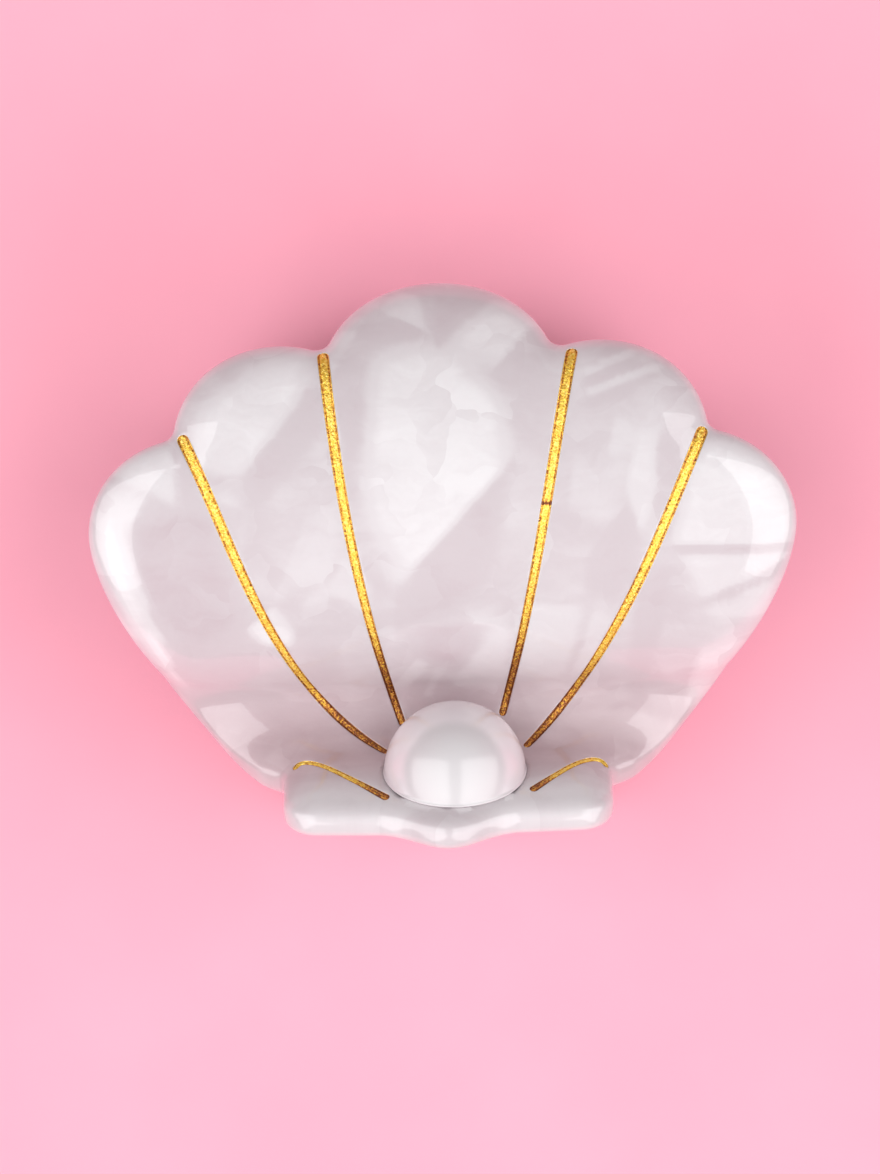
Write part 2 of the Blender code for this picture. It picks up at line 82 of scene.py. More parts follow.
# The outline, as in the CAD model: lobes are circles (centre x, centre v, radius)
LOBES = ((0.0, 44.7, 10.0), (13.4, 39.5, 9.0), (20.9, 31.5, 8.75))
LOBE_FILLET = 1.3
FLANK_HIGH = ((29.65, 31.5), (29.65, 27.5), (26.5, 20.6), (24.2, 15.9))
FLANK_HIGH_LENGTH = 16.7
FLANK_LOW = ((24.2, 15.9), (22.8, 13.2), (18.0, 10.4), (14.4, 7.7))
FLANK_LOW_LENGTH = 13.0
EAR_X = 13.9
EAR_NOTCH = ((14.4, 7.7), (14.05, 7.4), (EAR_X, 7.1), (EAR_X, 6.6))
NOTCH_STEPS = 4
EAR_CORNER_R = 2.8
TAB_SAG = 0.5
UMBO = 2.3
UMBO_HALF = 6.0

# The polished edge: how far in and how deep each face rolls off
ROLL_WIDTH, ROLL_DEPTH, ROLL_POWER = 4.0, 1.7, 2.0
ROLL_END = 0.9999  # share of the roll that counts as the outline
ROLL_REACH = 0.4  # how much further the far lobes reach than the CAD model's
INNER_ROLL = 1.0
RIPPLE = 0.03  # height of the outer face's faint waves
RIPPLE_X, RIPPLE_V = 0.55, 0.42
RIPPLE_START = 1.3

# The sheets' meshes
SPACING = 0.34  # between the outer face's vertices
INNER_SPACING = 0.7
OUTER_RINGS, INNER_RINGS = 10, 5
RING_KEEP = 0.985  # share of its depth that a ring's point keeps from every edge
GRID_X, GRID_V = (-30.0, 30.0), (-3.0, 56.0)
GRID_GAP, INNER_GRID_GAP = 0.1, 0.25  # between the rings and the even grid
LINE_CLEAR, SEAT_CLEAR = 0.08, 0.12  # loose points keep off a groove and the seat
CHUNK = 4000  # points measured at once
ON_LINE = 1e-4  # a point this near to the outline is on it
LEVEL = 1e-12  # an edge that climbs less than this is level
WELD = 1e-6
SHEETS_APART = 50.0  # between the jaws' places in the acetate's pattern

# Gold filled lines: a cubic Bezier in plan, (x, y) from the hinge pin, then the width at each end
GOLD_LINES = {
    "outer_left": (((-21.5, 23.6), (-17.1, 14.3), (-14.9, 2.5), (-5.3, -3.0)), 1.0, 0.65),
    "inner_left": (((-9.7, 30.5), (-8.7, 19.9), (-7.3, 9.5), (-3.8, -0.6)), 1.0, 0.65),
    "inner_right": (((11.1, 30.4), (9.0, 20.4), (7.7, 10.0), (4.8, 0.1)), 1.0, 0.65),
    "outer_right": (((21.8, 23.4), (17.9, 14.5), (14.2, 4.1), (6.8, -2.7)), 1.0, 0.65),
    "ear_left": (((-12.9, -3.7), (-11.9, -2.9), (-8.2, -5.3), (-5.3, -6.35)), 0.55, 0.75),
    "ear_right": (((13.4, -3.8), (12.4, -3.1), (9.5, -5.0), (7.2, -6.05)), 0.5, 0.75),
}
GROOVE_DEPTH = 0.4
GROOVE_LIP = 0.08  # width of the rounded edge of a groove
LIP_DROP = 0.025
GROOVE_STEP = 0.02  # a groove is deep from this far inside its edge
GROOVE_FOOT = 0.03  # its wall's foot lies this far inside its edge
CURVE_STEPS, LOOP_STEPS, LINE_STEPS = 200, 90, 60
CAP_STEPS = 7
FILL_JOINT = ("front", "inner_right", 34.0)  # where the fill was stopped and started again

PEARL_R = 6.0
PEARL_AT = (0.6, 5.7)
PEARL_SINK = 0.25
SEAT_R = PEARL_R + 0.1
SEAT_WALL = 0.02  # how far the seat's wall leans in
SEAT_POINTS = 110
SEAT_FROM_EDGE = 1.3  # the seat stops this far from the outline


# The bent sheet

def profile(v):
    """(y, z, slope) of the outer face at each v, about the hinge pin, for an array of v."""
    v = np.asarray(v, float)
    back = np.maximum(TAB_STRAIGHT - v, 0.0)
    turn = np.clip((v - TAB_STRAIGHT) / VALLEY_R, 0.0, TAB_RAD + RISE_RAD) - TAB_RAD
    y = VALLEY_R * np.sin(turn) - back * cos(TAB_RAD)
    z = VALLEY_CENTRE_Z - VALLEY_R * np.cos(turn) + back * sin(TAB_RAD)
    fan = v > FAN_V
    slope = np.where(fan, (CREST_V - v) / FAN_R, turn)
    y = np.where(fan, FAN_CENTRE_Y - FAN_R * np.sin(slope), y)
    z = np.where(fan, FAN_CENTRE_Z + FAN_R * np.cos(slope), z)
    return y, z, slope


def to_world(side, x, y, z):
    """Points in a jaw's own frame, about the pin, as world points in metres."""
    turn = 1 if side == "front" else -1
    x, y, z = np.broadcast_arrays(x, y, z)
    return np.column_stack((turn * x + PIN.x, y + PIN.y, turn * z + PIN.z)) * MM


def bend(side, x, v, n):
    y, z, slope = profile(v)
    return to_world(side, x, y - n * np.sin(slope), z + n * np.cos(slope))


def bezier(points, steps):
    p = np.array(points, float)
    t = np.linspace(0, 1, steps + 1)[:, None]
    return (1 - t) ** 3 * p[0] + 3 * t * (1 - t) ** 2 * p[1] + 3 * t * t * (1 - t) * p[2] + t**3 * p[3]


def arc(centre, radius, start, end, spacing):
    steps = max(2, round(abs(end - start) * radius / spacing))
    angles = np.linspace(start, end, steps + 1)
    return np.column_stack((centre[0] + radius * np.cos(angles), centre[1] + radius * np.sin(angles)))


def near(angle, other):
    return angle + 2 * pi * round((other - angle) / (2 * pi))


def notch(first, second):
    """Centre and end angles of the fillet between two lobes."""
    (x0, v0, r0), (x1, v1, r1) = first, second
    d = hypot(x1 - x0, v1 - v0)
    a, b = r0 + LOBE_FILLET, r1 + LOBE_FILLET
    along = (a * a - b * b + d * d) / (2 * d)
    up = sqrt(a * a - along * along)
    ux, uv = (x1 - x0) / d, (v1 - v0) / d
    centre = (x0 + ux * along - uv * up, v0 + uv * along + ux * up)
    return centre, atan2(v0 - centre[1], x0 - centre[0]), atan2(v1 - centre[1], x1 - centre[0])


def tab_end(x):
    bump = np.where(np.abs(x) < UMBO_HALF, UMBO * (1 + np.cos(pi * x / UMBO_HALF)) / 2, 0.0)
    return TAB_SAG * (x / EAR_X) ** 2 - bump


def jaw_outline(spacing):
    """The closed outline of a jaw's sheet, clockwise from the top lobe's crown."""
    runs = []
    start = pi / 2
    for lobe, following in zip(LOBES, LOBES[1:]):
        centre, to_lobe, to_next = notch(lobe, following)
        touch = near(to_lobe + pi, start)
        runs.append(arc(lobe[:2], lobe[2], start, touch, spacing)[min(1, len(runs)):])
        runs.append(arc(centre, LOBE_FILLET, to_lobe, near(to_next, to_lobe), spacing)[1:])
        start = near(to_next + pi, touch)
        start = start if start > touch - pi else start + 2 * pi
    runs.append(arc(LOBES[2][:2], LOBES[2][2], start, 0.0, spacing)[1:])
    runs.append(bezier(FLANK_HIGH, round(FLANK_HIGH_LENGTH / spacing))[1:])
    runs.append(bezier(FLANK_LOW, round(FLANK_LOW_LENGTH / spacing))[1:])
    runs.append(bezier(EAR_NOTCH, NOTCH_STEPS)[1:])
    notch_v = EAR_NOTCH[-1][1]
    corner_x = EAR_X - EAR_CORNER_R
    corner = (corner_x, float(tab_end(corner_x)) + EAR_CORNER_R)
    steps = round((notch_v - corner[1]) / spacing)
    side = np.linspace(notch_v, corner[1], steps + 1)[1:-1]
    runs.append(np.column_stack((np.full(len(side), EAR_X), side)))
    runs.append(arc(corner, EAR_CORNER_R, 0.0, -pi / 2, spacing))
    x = np.linspace(corner_x, 0.0, round(corner_x / spacing) + 1)[1:]
    runs.append(np.column_stack((x, tab_end(x))))
    right = np.vstack(runs)
    # The far lobes reach a little further than the CAD model's, whose edge is rounded more tightly
    crown_v = LOBES[0][1] + LOBES[0][2]
    right[:, 1] += ROLL_REACH * np.clip((right[:, 1] - CREST_V) / (crown_v - CREST_V), 0, 1) ** 2
    left = right[-2:0:-1] * (-1, 1)
    return np.vstack((right, left))


def nearest_on_lines(points, starts, ends):
    """For each point: distance to the nearest segment, its number, the place along it, the offset."""
    best = np.full(len(points), 1e9)
    number = np.zeros(len(points), int)
    share = np.zeros(len(points))
    offset = np.zeros((len(points), 2))
    along = ends - starts
    length2 = (along**2).sum(1)
    for low in range(0, len(points), CHUNK):
        part = slice(low, low + CHUNK)
        rel = points[part, None, :] - starts[None]
        t = np.clip((rel * along).sum(2) / length2, 0, 1)
        gap = rel - t[..., None] * along
        d2 = (gap**2).sum(2)
        pick = d2.argmin(1)
        row = np.arange(len(pick))
        best[part] = np.sqrt(d2[row, pick])
        number[part], share[part], offset[part] = pick, t[row, pick], gap[row, pick]
    return best, number, share, offset


OUTLINE = jaw_outline(SPACING)
OUTLINE_NEXT = np.roll(OUTLINE, -1, axis=0)


def edge_distance(points):
    """Distance in from the outline and the unit direction away from it."""
    distance, number, _, offset = nearest_on_lines(points, OUTLINE, OUTLINE_NEXT)
    along = (OUTLINE_NEXT - OUTLINE)[number]
    inward = np.column_stack((along[:, 1], -along[:, 0]))
    inward /= np.linalg.norm(inward, axis=1)[:, None]
    inside = distance > ON_LINE
    inward[inside] = offset[inside] / distance[inside, None]
    return distance, inward


def face_point(side, flat, lift, edge=None):
    """World points on the outer face at flat points, raised by lift along the face's normal."""
    distance, inward = edge if edge else edge_distance(flat)
    t = np.clip(1 - distance / ROLL_WIDTH, 0.0, 1.0)
    root = np.sqrt(1 - np.minimum(t, ROLL_END) ** ROLL_POWER)
    height = -ROLL_DEPTH * (1 - np.where(t > ROLL_END, 0.0, root))
    steep = ROLL_DEPTH * ROLL_POWER * t ** (ROLL_POWER - 1) / (2 * ROLL_WIDTH * root)
    size = np.sqrt(1 + steep**2)
    ripple = RIPPLE * np.sin(flat[:, 0] * RIPPLE_X + RIPPLE_START) * np.sin(flat[:, 1] * RIPPLE_V) * (1 - t)
    moved = flat - inward * (lift * steep / size)[:, None]
    return bend(side, moved[:, 0], moved[:, 1], height + ripple + lift / size)


def along_sheet(y):
    """The v of each point of the outer face that lies y in front of the pin, seen from above."""
    bend_y, fan_y = -VALLEY_R * sin(TAB_RAD), VALLEY_R * sin(RISE_RAD)
    tab = TAB_STRAIGHT - (bend_y - y) / cos(TAB_RAD)
    valley = TAB_STRAIGHT + VALLEY_R * (np.arcsin(np.clip(y / VALLEY_R, -1, 1)) + TAB_RAD)
    fan = CREST_V - FAN_R * np.arcsin(np.clip((FAN_CENTRE_Y - y) / FAN_R, -1, 1))
    return np.where(y < bend_y, tab, np.where(y < fan_y, valley, fan))


def line_path(name, steps):
    """Flat points evenly spaced along a gold line's middle, and its half width at each."""
    plan, wide, narrow = GOLD_LINES[name]
    curve = bezier(plan, CURVE_STEPS)
    curve[:, 1] = along_sheet(curve[:, 1])
    lengths = np.r_[0, np.cumsum(np.linalg.norm(np.diff(curve, axis=0), axis=1))]
    even = np.linspace(0, lengths[-1], steps + 1)
    path = np.column_stack([np.interp(even, lengths, curve[:, k]) for k in (0, 1)])
    return path, np.linspace(wide, narrow, steps + 1) / 2


def line_loop(name, widen):
    """A closed loop round a gold line, this far outside its edge."""
    path, half = line_path(name, LOOP_STEPS)
    half = half + widen
    ahead = np.gradient(path, axis=0)
    ahead /= np.linalg.norm(ahead, axis=1)[:, None]
    across = np.column_stack((-ahead[:, 1], ahead[:, 0]))
    left, right = path + across * half[:, None], path - across * half[:, None]
    caps = []
    for end, sign in ((-1, 1), (0, -1)):
        turn = np.linspace(0, pi, CAP_STEPS)[1:-1, None]
        caps.append(path[end] + half[end] * sign * (np.cos(turn) * across[end] + np.sin(turn) * ahead[end]))
    return np.vstack((left, caps[0], right[::-1], caps[1]))


def line_gap(points):
    """How far each flat point lies outside the nearest gold line's edge; negative inside one."""
    gap = np.full(len(points), 1e9)
    for name in GOLD_LINES:
        path, half = line_path(name, LINE_STEPS)
        distance, number, share, _ = nearest_on_lines(points, path[:-1], path[1:])
        width = half[number] + share * (half[number + 1] - half[number])
        gap = np.minimum(gap, distance - width)
    return gap


def groove_recess(gap):
    lip = LIP_DROP * np.clip(1 - gap / GROOVE_LIP, 0, 1) ** 2
    return np.where(gap < -GROOVE_STEP, GROOVE_DEPTH, lip)


def seat_ring(radius):
    """The edge of the pearl's seat, as flat points: a circle on the tab that climbs the bend."""
    angles = np.linspace(0, 2 * pi, SEAT_POINTS, endpoint=False)
    x = PEARL_AT[0] + radius * np.cos(angles)
    s = PEARL_AT[1] + radius * np.sin(angles)
    climb = VALLEY_R * np.arcsin(np.clip((s - TAB_STRAIGHT) / VALLEY_R, -1, 1))
    return np.column_stack((x, np.where(s > TAB_STRAIGHT, TAB_STRAIGHT + climb, s)))


def on_tab(v):
    """Distance along the tab's plane of a flat point's v."""
    turn = np.clip((v - TAB_STRAIGHT) / VALLEY_R, 0.0, pi / 2)
    return np.where(v > TAB_STRAIGHT, TAB_STRAIGHT + VALLEY_R * np.sin(turn), v)


def seat_radius(points):
    return np.hypot(points[:, 0] - PEARL_AT[0], on_tab(points[:, 1]) - PEARL_AT[1])


def hex_grid(spacing):
    rows = np.arange(*GRID_V, spacing * sqrt(3) / 2)
    columns = np.arange(*GRID_X, spacing)
    shift = (np.arange(len(rows)) % 2) * spacing / 2
    x = columns[None, :] + shift[:, None]
    return np.column_stack((x.ravel(), np.repeat(rows, len(columns))))


def inside_outline(points):
    """Whether each point lies within the outline, by counting crossings."""
    inside = np.zeros(len(points), bool)
    for a, b in zip(OUTLINE, OUTLINE_NEXT):
        crosses = (a[1] > points[:, 1]) != (b[1] > points[:, 1])
        if abs(b[1] - a[1]) > LEVEL:
            x = a[0] + (points[:, 1] - a[1]) * (b[0] - a[0]) / (b[1] - a[1])
            inside ^= crosses & (points[:, 0] < x)
    return inside


def triangulate(loops, loose):
    """Constrained Delaunay mesh of closed loops, the first being the outline, and loose points."""
    points = np.vstack([*loops, loose])
    edges = []
    first = 0
    for loop in loops:
        edges += [(first + i, first + (i + 1) % len(loop)) for i in range(len(loop))]
        first += len(loop)
    found = delaunay_2d_cdt([Vector(p) for p in points], edges, [], 1, WELD, True)
    verts = np.array([tuple(p) for p in found[0]])
    faces = np.array(found[2])
    faces = faces[inside_outline(verts[faces].mean(1))]
    where = {source: i for i, sources in enumerate(found[3]) for source in sources}
    return verts, faces, np.array([where[i] for i in range(len(loops[0]))])


def roll_rings(width, count):
    """Points on rings inside the outline, packed closer where the edge is steep."""
    rings = []
    inward = edge_distance(OUTLINE)[1]
    for i in range(1, count + 1):
        depth = width * (1 - cos(pi / 2 * i / count))
        ring = OUTLINE + inward * depth
        keep = edge_distance(ring)[0] > depth * RING_KEEP
        rings.append(ring[keep])
    return np.vstack(rings)


def outer_sheet():
    loops = [OUTLINE]
    for name in GOLD_LINES:
        loops += [line_loop(name, w) for w in (GROOVE_LIP, GROOVE_LIP / 2, 0.0, -GROOVE_FOOT)]
    loops += [seat_ring(SEAT_R), seat_ring(SEAT_R - SEAT_WALL)]
    rings = roll_rings(ROLL_WIDTH, OUTER_RINGS)
    grid = hex_grid(SPACING)
    grid = grid[inside_outline(grid)]
    grid = grid[edge_distance(grid)[0] > ROLL_WIDTH + GRID_GAP]
    loose = np.vstack((rings, grid))
    loose = loose[line_gap(loose) > GROOVE_LIP + LINE_CLEAR]
    loose = loose[np.abs(seat_radius(loose) - SEAT_R) > SEAT_CLEAR]
    return triangulate(loops, loose)


def inner_sheet():
    rings = roll_rings(INNER_ROLL, INNER_RINGS)
    grid = hex_grid(INNER_SPACING)
    grid = grid[inside_outline(grid)]
    grid = grid[edge_distance(grid)[0] > INNER_ROLL + INNER_GRID_GAP]
    return triangulate([OUTLINE], np.vstack((rings, grid)))


# Pearly patches: how bright from 0 to 1, how strong, the width over which the first
# edge fades, the width over which the others fade, and the corners in flat coordinates
PATCHES = (
    (0.05, 0.7, 2.5, 3.5, ((-27, 33), (-19, 34), (-17, 24), (-21, 19), (-26, 27))),
    (0.30, 0.6, 3.0, 4.0, ((-21, 22), (-10, 22), (-9, 12), (-16, 9), (-22, 16))),
    (0.40, 0.6, 2.0, 3.0, ((-3, 48.2), (9.5, 49.5), (9.5, 43), (4, 41.5), (0, 45))),
    (0.30, 0.5, 2.0, 3.0, ((-9.3, 47), (-5.5, 47.5), (-6, 38), (-8, 32))),
    (0.95, 0.85, 1.2, 3.0, ((5.6, 37.5), (-3.5, 27.5), (-6.5, 34), (-5.6, 46.5), (0.5, 48), (5.4, 42))),
    (0.15, 0.6, 0.9, 2.4, ((5.6, 37.2), (-2.8, 28.0), (-2.5, 22.5), (3.5, 26.5))),
    (0.60, 0.5, 1.0, 2.5, ((-9, 38.5), (-16.5, 33.5), (-12.5, 26.5), (-9, 26))),
    (0.20, 0.6, 1.2, 1.6, ((-10.5, 45), (-16.5, 36.5), (-15, 34.8), (-9.8, 40.5))),
    (0.90, 0.8, 1.5, 2.2,
     ((-12, 42.5), (-17, 36.8), (-20.3, 37.5), (-20.5, 41.5), (-14.5, 47), (-10.5, 47.2))),
    (0.85, 0.8, 0.6, 1.6, ((-22.3, 34.5), (-22.5, 39.8), (-28.3, 37.5), (-26, 36.3))),
    (0.20, 0.5, 0.5, 1.4, ((-22.2, 39.5), (-21.2, 33), (-19.8, 33.5), (-21, 38.5))),
    (0.80, 0.7, 0.5, 1.5, ((-9.5, 44.5), (-8.0, 47.2), (-5.8, 50.5), (-9.3, 48.5))),
    (0.20, 0.7, 0.5, 1.5, ((-1.0, 48.6), (-1.6, 50.2), (-7.2, 49.6), (-5.5, 48.0))),
    (0.85, 0.7, 0.5, 1.2, ((-1.1, 49.0), (-4.8, 51.2), (-3.5, 52.8), (-1.7, 52.6))),
    (0.15, 0.6, 0.5, 2.5, ((-0.3, 47.4), (-0.2, 53.2), (4, 53), (4.5, 48))),
    (0.95, 0.8, 0.5, 3.0, ((8.0, 49.8), (4.8, 45.7), (0.5, 47.2), (2.5, 50.5), (5.5, 52.2))),
    (0.25, 0.6, 0.7, 1.5, ((12.5, 44.9), (19.5, 46.2), (16.5, 43.2), (12.5, 42.2))),
    (0.80, 0.7, 0.4, 0.7, ((12.0, 45.2), (16.0, 47.2), (16.6, 46.7), (12.3, 44.6))),
    (0.75, 0.7, 0.4, 0.7, ((12.0, 43.5), (18.6, 46.0), (18.8, 45.3), (12.5, 42.8))),
    (0.85, 0.7, 0.5, 1.0, ((16.6, 39.9), (15.4, 35.5), (16.4, 31.5), (17.6, 34), (17.9, 39.9))),
    (0.20, 0.6, 0.4, 1.8, ((15.3, 33.8), (12.2, 29.6), (12.0, 25.5), (15, 25.5), (16.5, 31.5))),
    (0.85, 0.9, 0.4, 1.5, ((28.9, 30.0), (19.4, 30.3), (20.5, 37), (23, 39), (27.3, 37.3), (29.3, 33))),
    (0.20, 0.8, 0.3, 0.6, ((19.2, 30.1), (29.2, 29.8), (29.2, 29.0), (19.6, 29.4))),
    (0.85, 0.8, 0.4, 1.2, ((21.8, 25.3), (28.8, 28.6), (28.8, 29.3), (20.3, 29.0))),
    (0.25, 0.7, 0.4, 0.7, ((28.6, 28.2), (22.0, 24.9), (21.0, 24.4), (28.0, 26.6))),
    (0.85, 0.7, 0.6, 1.5, ((18.4, 24.2), (22, 23.6), (27.6, 26.6), (27, 22.5), (22, 20.8))),
    (0.25, 0.7, 1.2, 1.6, ((15.8, 28), (19.4, 28), (18.0, 20), (17.0, 13.5), (14.8, 15), (15.6, 22))),
    (0.90, 0.8, 0.5, 1.5, ((20.4, 13.0), (21.6, 19.5), (25.6, 20.5), (22.6, 13.5))),
    (0.80, 0.7, 0.5, 1.2, ((9.8, 12.2), (11.8, 10.6), (18.5, 10.2), (20.0, 11.8), (14, 12.9))),
    (0.85, 0.7, 0.8, 1.8, ((6.6, 24.8), (11.4, 24.6), (10.9, 20.0), (9.8, 16.6), (6.0, 16.8))),
    (0.80, 0.7, 0.8, 1.5, ((0.8, 15.4), (1.6, 18.6), (5.0, 22.4), (5.4, 18), (4.8, 15.2))),
    (0.70, 0.6, 0.5, 1.2, ((12.6, 24.2), (10.6, 16.6), (12.2, 17.4), (14.2, 23.2))),
    (0.95, 0.8, 0.5, 1.0,
     ((-18.3, 21.4), (-16.6, 23.0), (-18.0, 25.0), (-15.6, 26.8), (-12.6, 22.5), (-13, 21))),
    (0.75, 0.7, 0.8, 1.4, ((-9.8, 26.6), (-8.3, 29.6), (-6.4, 27.4), (-6.3, 24.2))),
    (0.75, 0.7, 0.4, 0.7, ((-4.4, 15.6), (-2.2, 19.4), (-1.2, 18.8), (-3.2, 15.4))),
    (0.70, 0.7, 0.3, 0.5, ((-2.0, 14.4), (-0.8, 17.8), (-0.2, 17.4), (-1.2, 14.2))),
    (0.05, 0.7, 1.0, 2.5, ((-3, 23), (3.5, 23), (1.5, 17.5), (-2, 19))),
    (0.75, 0.6, 1.0, 2.5, ((-12, 4.5), (12, 4.5), (12, -0.5), (-12, -0.5))),
)
TURNED = (0.0, 54.0)  # the back jaw's patches are turned end for end
PLAIN_TONE = 0.48
CHIPS = 260  # small random patches between the large ones
CHIP_SIZE, CHIP_SLIM, CHIP_STRENGTH = (1.5, 5.0), (0.25, 0.9), (0.15, 0.4)
CHIP_EDGE = 0.5  # width over which its first edge fades
CHIP_FADE = (1.0, 0.4)  # for its others: fixed, and a share of its size
CHIP_REACH = 2.0  # how far past its size a chip can show
# Painted reflection: a pale band along the rolled-off edge inside one flank, where that edge would catch a
# softbox
REFLECTION_BAND_IN = (1.3, 3.9)  # the pale band's distances in from the outline
REFLECTION_BAND_V = (14.0, 36.0)
REFLECTION_BAND_WIDENS = 14.0  # the band reaches its full width this far up
REFLECTION_BAND_SOFT = (0.25, 0.8)  # widths over which its inner and outer sides fade
REFLECTION_BAND_ENDS = (3.0, 4.0)  # lengths over which its low and high ends fade
REFLECTION_BAND_TONE = 0.42


def patch_mask(flat, first_fade, fade, corners):
    """1 well inside a convex patch, fading to 0 at its edges."""
    corners = np.array(corners, float)
    middle = corners.mean(0)
    mask = np.ones(len(flat))
    for i, (a, b) in enumerate(zip(corners, np.roll(corners, -1, axis=0))):
        normal = np.array((a[1] - b[1], b[0] - a[0]))
        normal *= np.sign(normal @ (middle - a)) / np.linalg.norm(normal)
        t = np.clip((flat - a) @ normal / (first_fade if i == 0 else fade) + 0.5, 0, 1)
        mask *= t * t * (3 - 2 * t)
    return mask


def pearl_tone(flat, seed):
    """How bright the acetate is at flat points: small random chips, a painted reflection band inside one
    flank, then the large patches.
    """
    edge = edge_distance(flat)[0]
    random = np.random.default_rng(seed)
    tone = np.full(len(flat), PLAIN_TONE)
    for _ in range(CHIPS):
        middle = random.uniform((GRID_X[0], GRID_V[0]), (GRID_X[1], GRID_V[1]))
        angle = random.uniform(0, pi)
        size = random.uniform(*CHIP_SIZE)
        slim = random.uniform(*CHIP_SLIM)
        turns = np.sort(random.uniform(0, 2 * pi, 4))
        shape = np.column_stack((np.cos(turns), slim * np.sin(turns))) * size
        turned = shape @ np.array(((cos(angle), sin(angle)), (-sin(angle), cos(angle)))) + middle
        bright = random.uniform(0, 1)
        strength = random.uniform(*CHIP_STRENGTH)
        close = np.abs(flat - middle).max(1) < size + CHIP_REACH
        mask = patch_mask(flat[close], CHIP_EDGE, CHIP_FADE[0] + CHIP_FADE[1] * size, turned)
        tone[close] += (bright - tone[close]) * strength * mask
    # A painted reflection: a pale band runs inside one flank, on its rolled-off edge
    x, v = flat.T
    up = (v - REFLECTION_BAND_V[0]) / REFLECTION_BAND_WIDENS
    reflection_inner_edge = REFLECTION_BAND_IN[1] * np.clip(up, 0, 1) + REFLECTION_BAND_IN[0] * np.clip(1 - up, 0, 1)
    inner_side = np.clip((reflection_inner_edge - edge) / REFLECTION_BAND_SOFT[0] + 0.5, 0, 1)
    outer_side = np.clip((edge - REFLECTION_BAND_IN[0]) / REFLECTION_BAND_SOFT[1] + 0.5, 0, 1)
    low_end = np.clip((v - REFLECTION_BAND_V[0]) / REFLECTION_BAND_ENDS[0], 0, 1)
    high_end = np.clip((REFLECTION_BAND_V[1] - v) / REFLECTION_BAND_ENDS[1], 0, 1)
    painted_reflection = inner_side * outer_side
    painted_reflection *= (x < 0) * low_end * high_end
    tone += REFLECTION_BAND_TONE * painted_reflection
    for bright, strength, first_fade, fade, corners in PATCHES:
        # The back jaw is cut from the sheet turned end for end
        place = np.array(corners, float)
        if seed != 1:
            place = np.array(TURNED) - place
        tone += (bright - tone) * strength * patch_mask(flat, first_fade, fade, place)
    return tone


# Pieces

def add_to_scene(thing):
    bpy.context.scene.collection.objects.link(thing)


def add_piece(name, verts, faces, material, attributes=None):
    """A mesh object with its faces turned outwards, smooth shaded, in place in the row frame."""
    mesh = bpy.data.meshes.new(name)
    mesh.from_pydata(np.asarray(verts).tolist(), [], [tuple(int(i) for i in f) for f in faces])
    for label, values in (attributes or {}).items():
        kind = "FLOAT" if values.ndim == 1 else "FLOAT_VECTOR"
        layer = mesh.attributes.new(label, kind, "POINT")
        layer.data.foreach_set("value" if values.ndim == 1 else "vector", values.astype(np.float32).ravel())
    made = bmesh.new()
    made.from_mesh(mesh)
    bmesh.ops.recalc_face_normals(made, faces=made.faces)
    made.to_mesh(mesh)
    made.free()
    mesh.shade_smooth()
    mesh.materials.append(material)
    piece = bpy.data.objects.new(name, mesh)
    add_to_scene(piece)
    return piece


def stand_for(piece, node):
    """The piece takes the CAD node's place and rides on its body."""
    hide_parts(node)
    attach(piece, "front_jaw" if node.startswith("front") else "back_jaw")


def loft(rings, ends):
    """Vertices and faces of rings joined in order; ends is "cap" for flat ends or "wrap" to close up."""
    rings = np.asarray(rings)
    count, sides = rings.shape[:2]
    faces = []
    for i in range(count if ends == "wrap" else count - 1):
        low, high = i * sides, (i + 1) % count * sides
        for k in range(sides):
            following = (k + 1) % sides
            faces.append((low + k, low + following, high + following, high + k))
    if ends == "cap":
        faces.append(tuple(range(sides)))
        faces.append(tuple(range((count - 1) * sides, count * sides)))
    return rings.reshape(-1, 3), faces


def tab_plane(side, x, s, height):
    """World points at a distance along the tab's plane, its flat extended past the bend."""
    back = TAB_STRAIGHT - s
    y = -VALLEY_R * sin(TAB_RAD) - back * cos(TAB_RAD) + height * sin(TAB_RAD)
    z = VALLEY_CENTRE_Z - VALLEY_R * cos(TAB_RAD) + back * sin(TAB_RAD) + height * cos(TAB_RAD)
    return to_world(side, x, y, z)


def shell(side, seed, outer, inner, material):
    flat, faces, rim = outer
    under, under_faces, under_rim = inner
    edge = edge_distance(flat)
    face = face_point(side, flat, -groove_recess(line_gap(flat)), edge)
    seat = (seat_radius(flat) < SEAT_R - SEAT_WALL / 2) & (edge[0] > SEAT_FROM_EDGE)
    face[seat] = tab_plane(side, flat[seat, 0], on_tab(flat[seat, 1]), -PEARL_SINK)
    t = np.clip(1 - edge_distance(under)[0] / INNER_ROLL, 0, 1)
    back = bend(side, under[:, 0], under[:, 1], INNER_ROLL * (1 - np.sqrt(1 - t * t)) - SHEET)
    base = len(face)
    walls = [(a, b, d + base, c + base) for a, b, c, d in
             zip(rim, np.roll(rim, -1), under_rim, np.roll(under_rim, -1))]
    both = np.vstack((flat, under))
    attributes = {
        "tone": pearl_tone(both, seed),
        "flat": np.column_stack((both, np.full(len(both), seed * SHEETS_APART))),
    }
    all_faces = [*faces, *(under_faces + base), *walls]
    return add_piece(f"{side}_shell_polished", np.vstack((face, back)), all_faces, material, attributes)


STRIP_ROW = 0.09  # between a gold strip's rows
STRIP_TOP = 13  # points across its top
STRIP_GAP = 0.02  # from its side to the groove's edge
STRIP_END = 0.02  # least share of the width, squared, at its ends
STRIP_SINK = 0.03  # its top's depth below the sheet's face
STRIP_DEPTH = 0.36  # its underside's depth
STRIP_FOOT = 0.9  # its underside's half width over its top's
DIP_AT, DIP_WIDTH, DIP_DEPTH = 0.72, 0.16, 0.08  # the hollow along each side of its top
ROUGH_LIFT, ROUGH_PLACE = 0.022, 0.02
JOINT_WIDTH = 0.13
LINES_APART = 9.0  # between the lines' places in the glitter's pattern


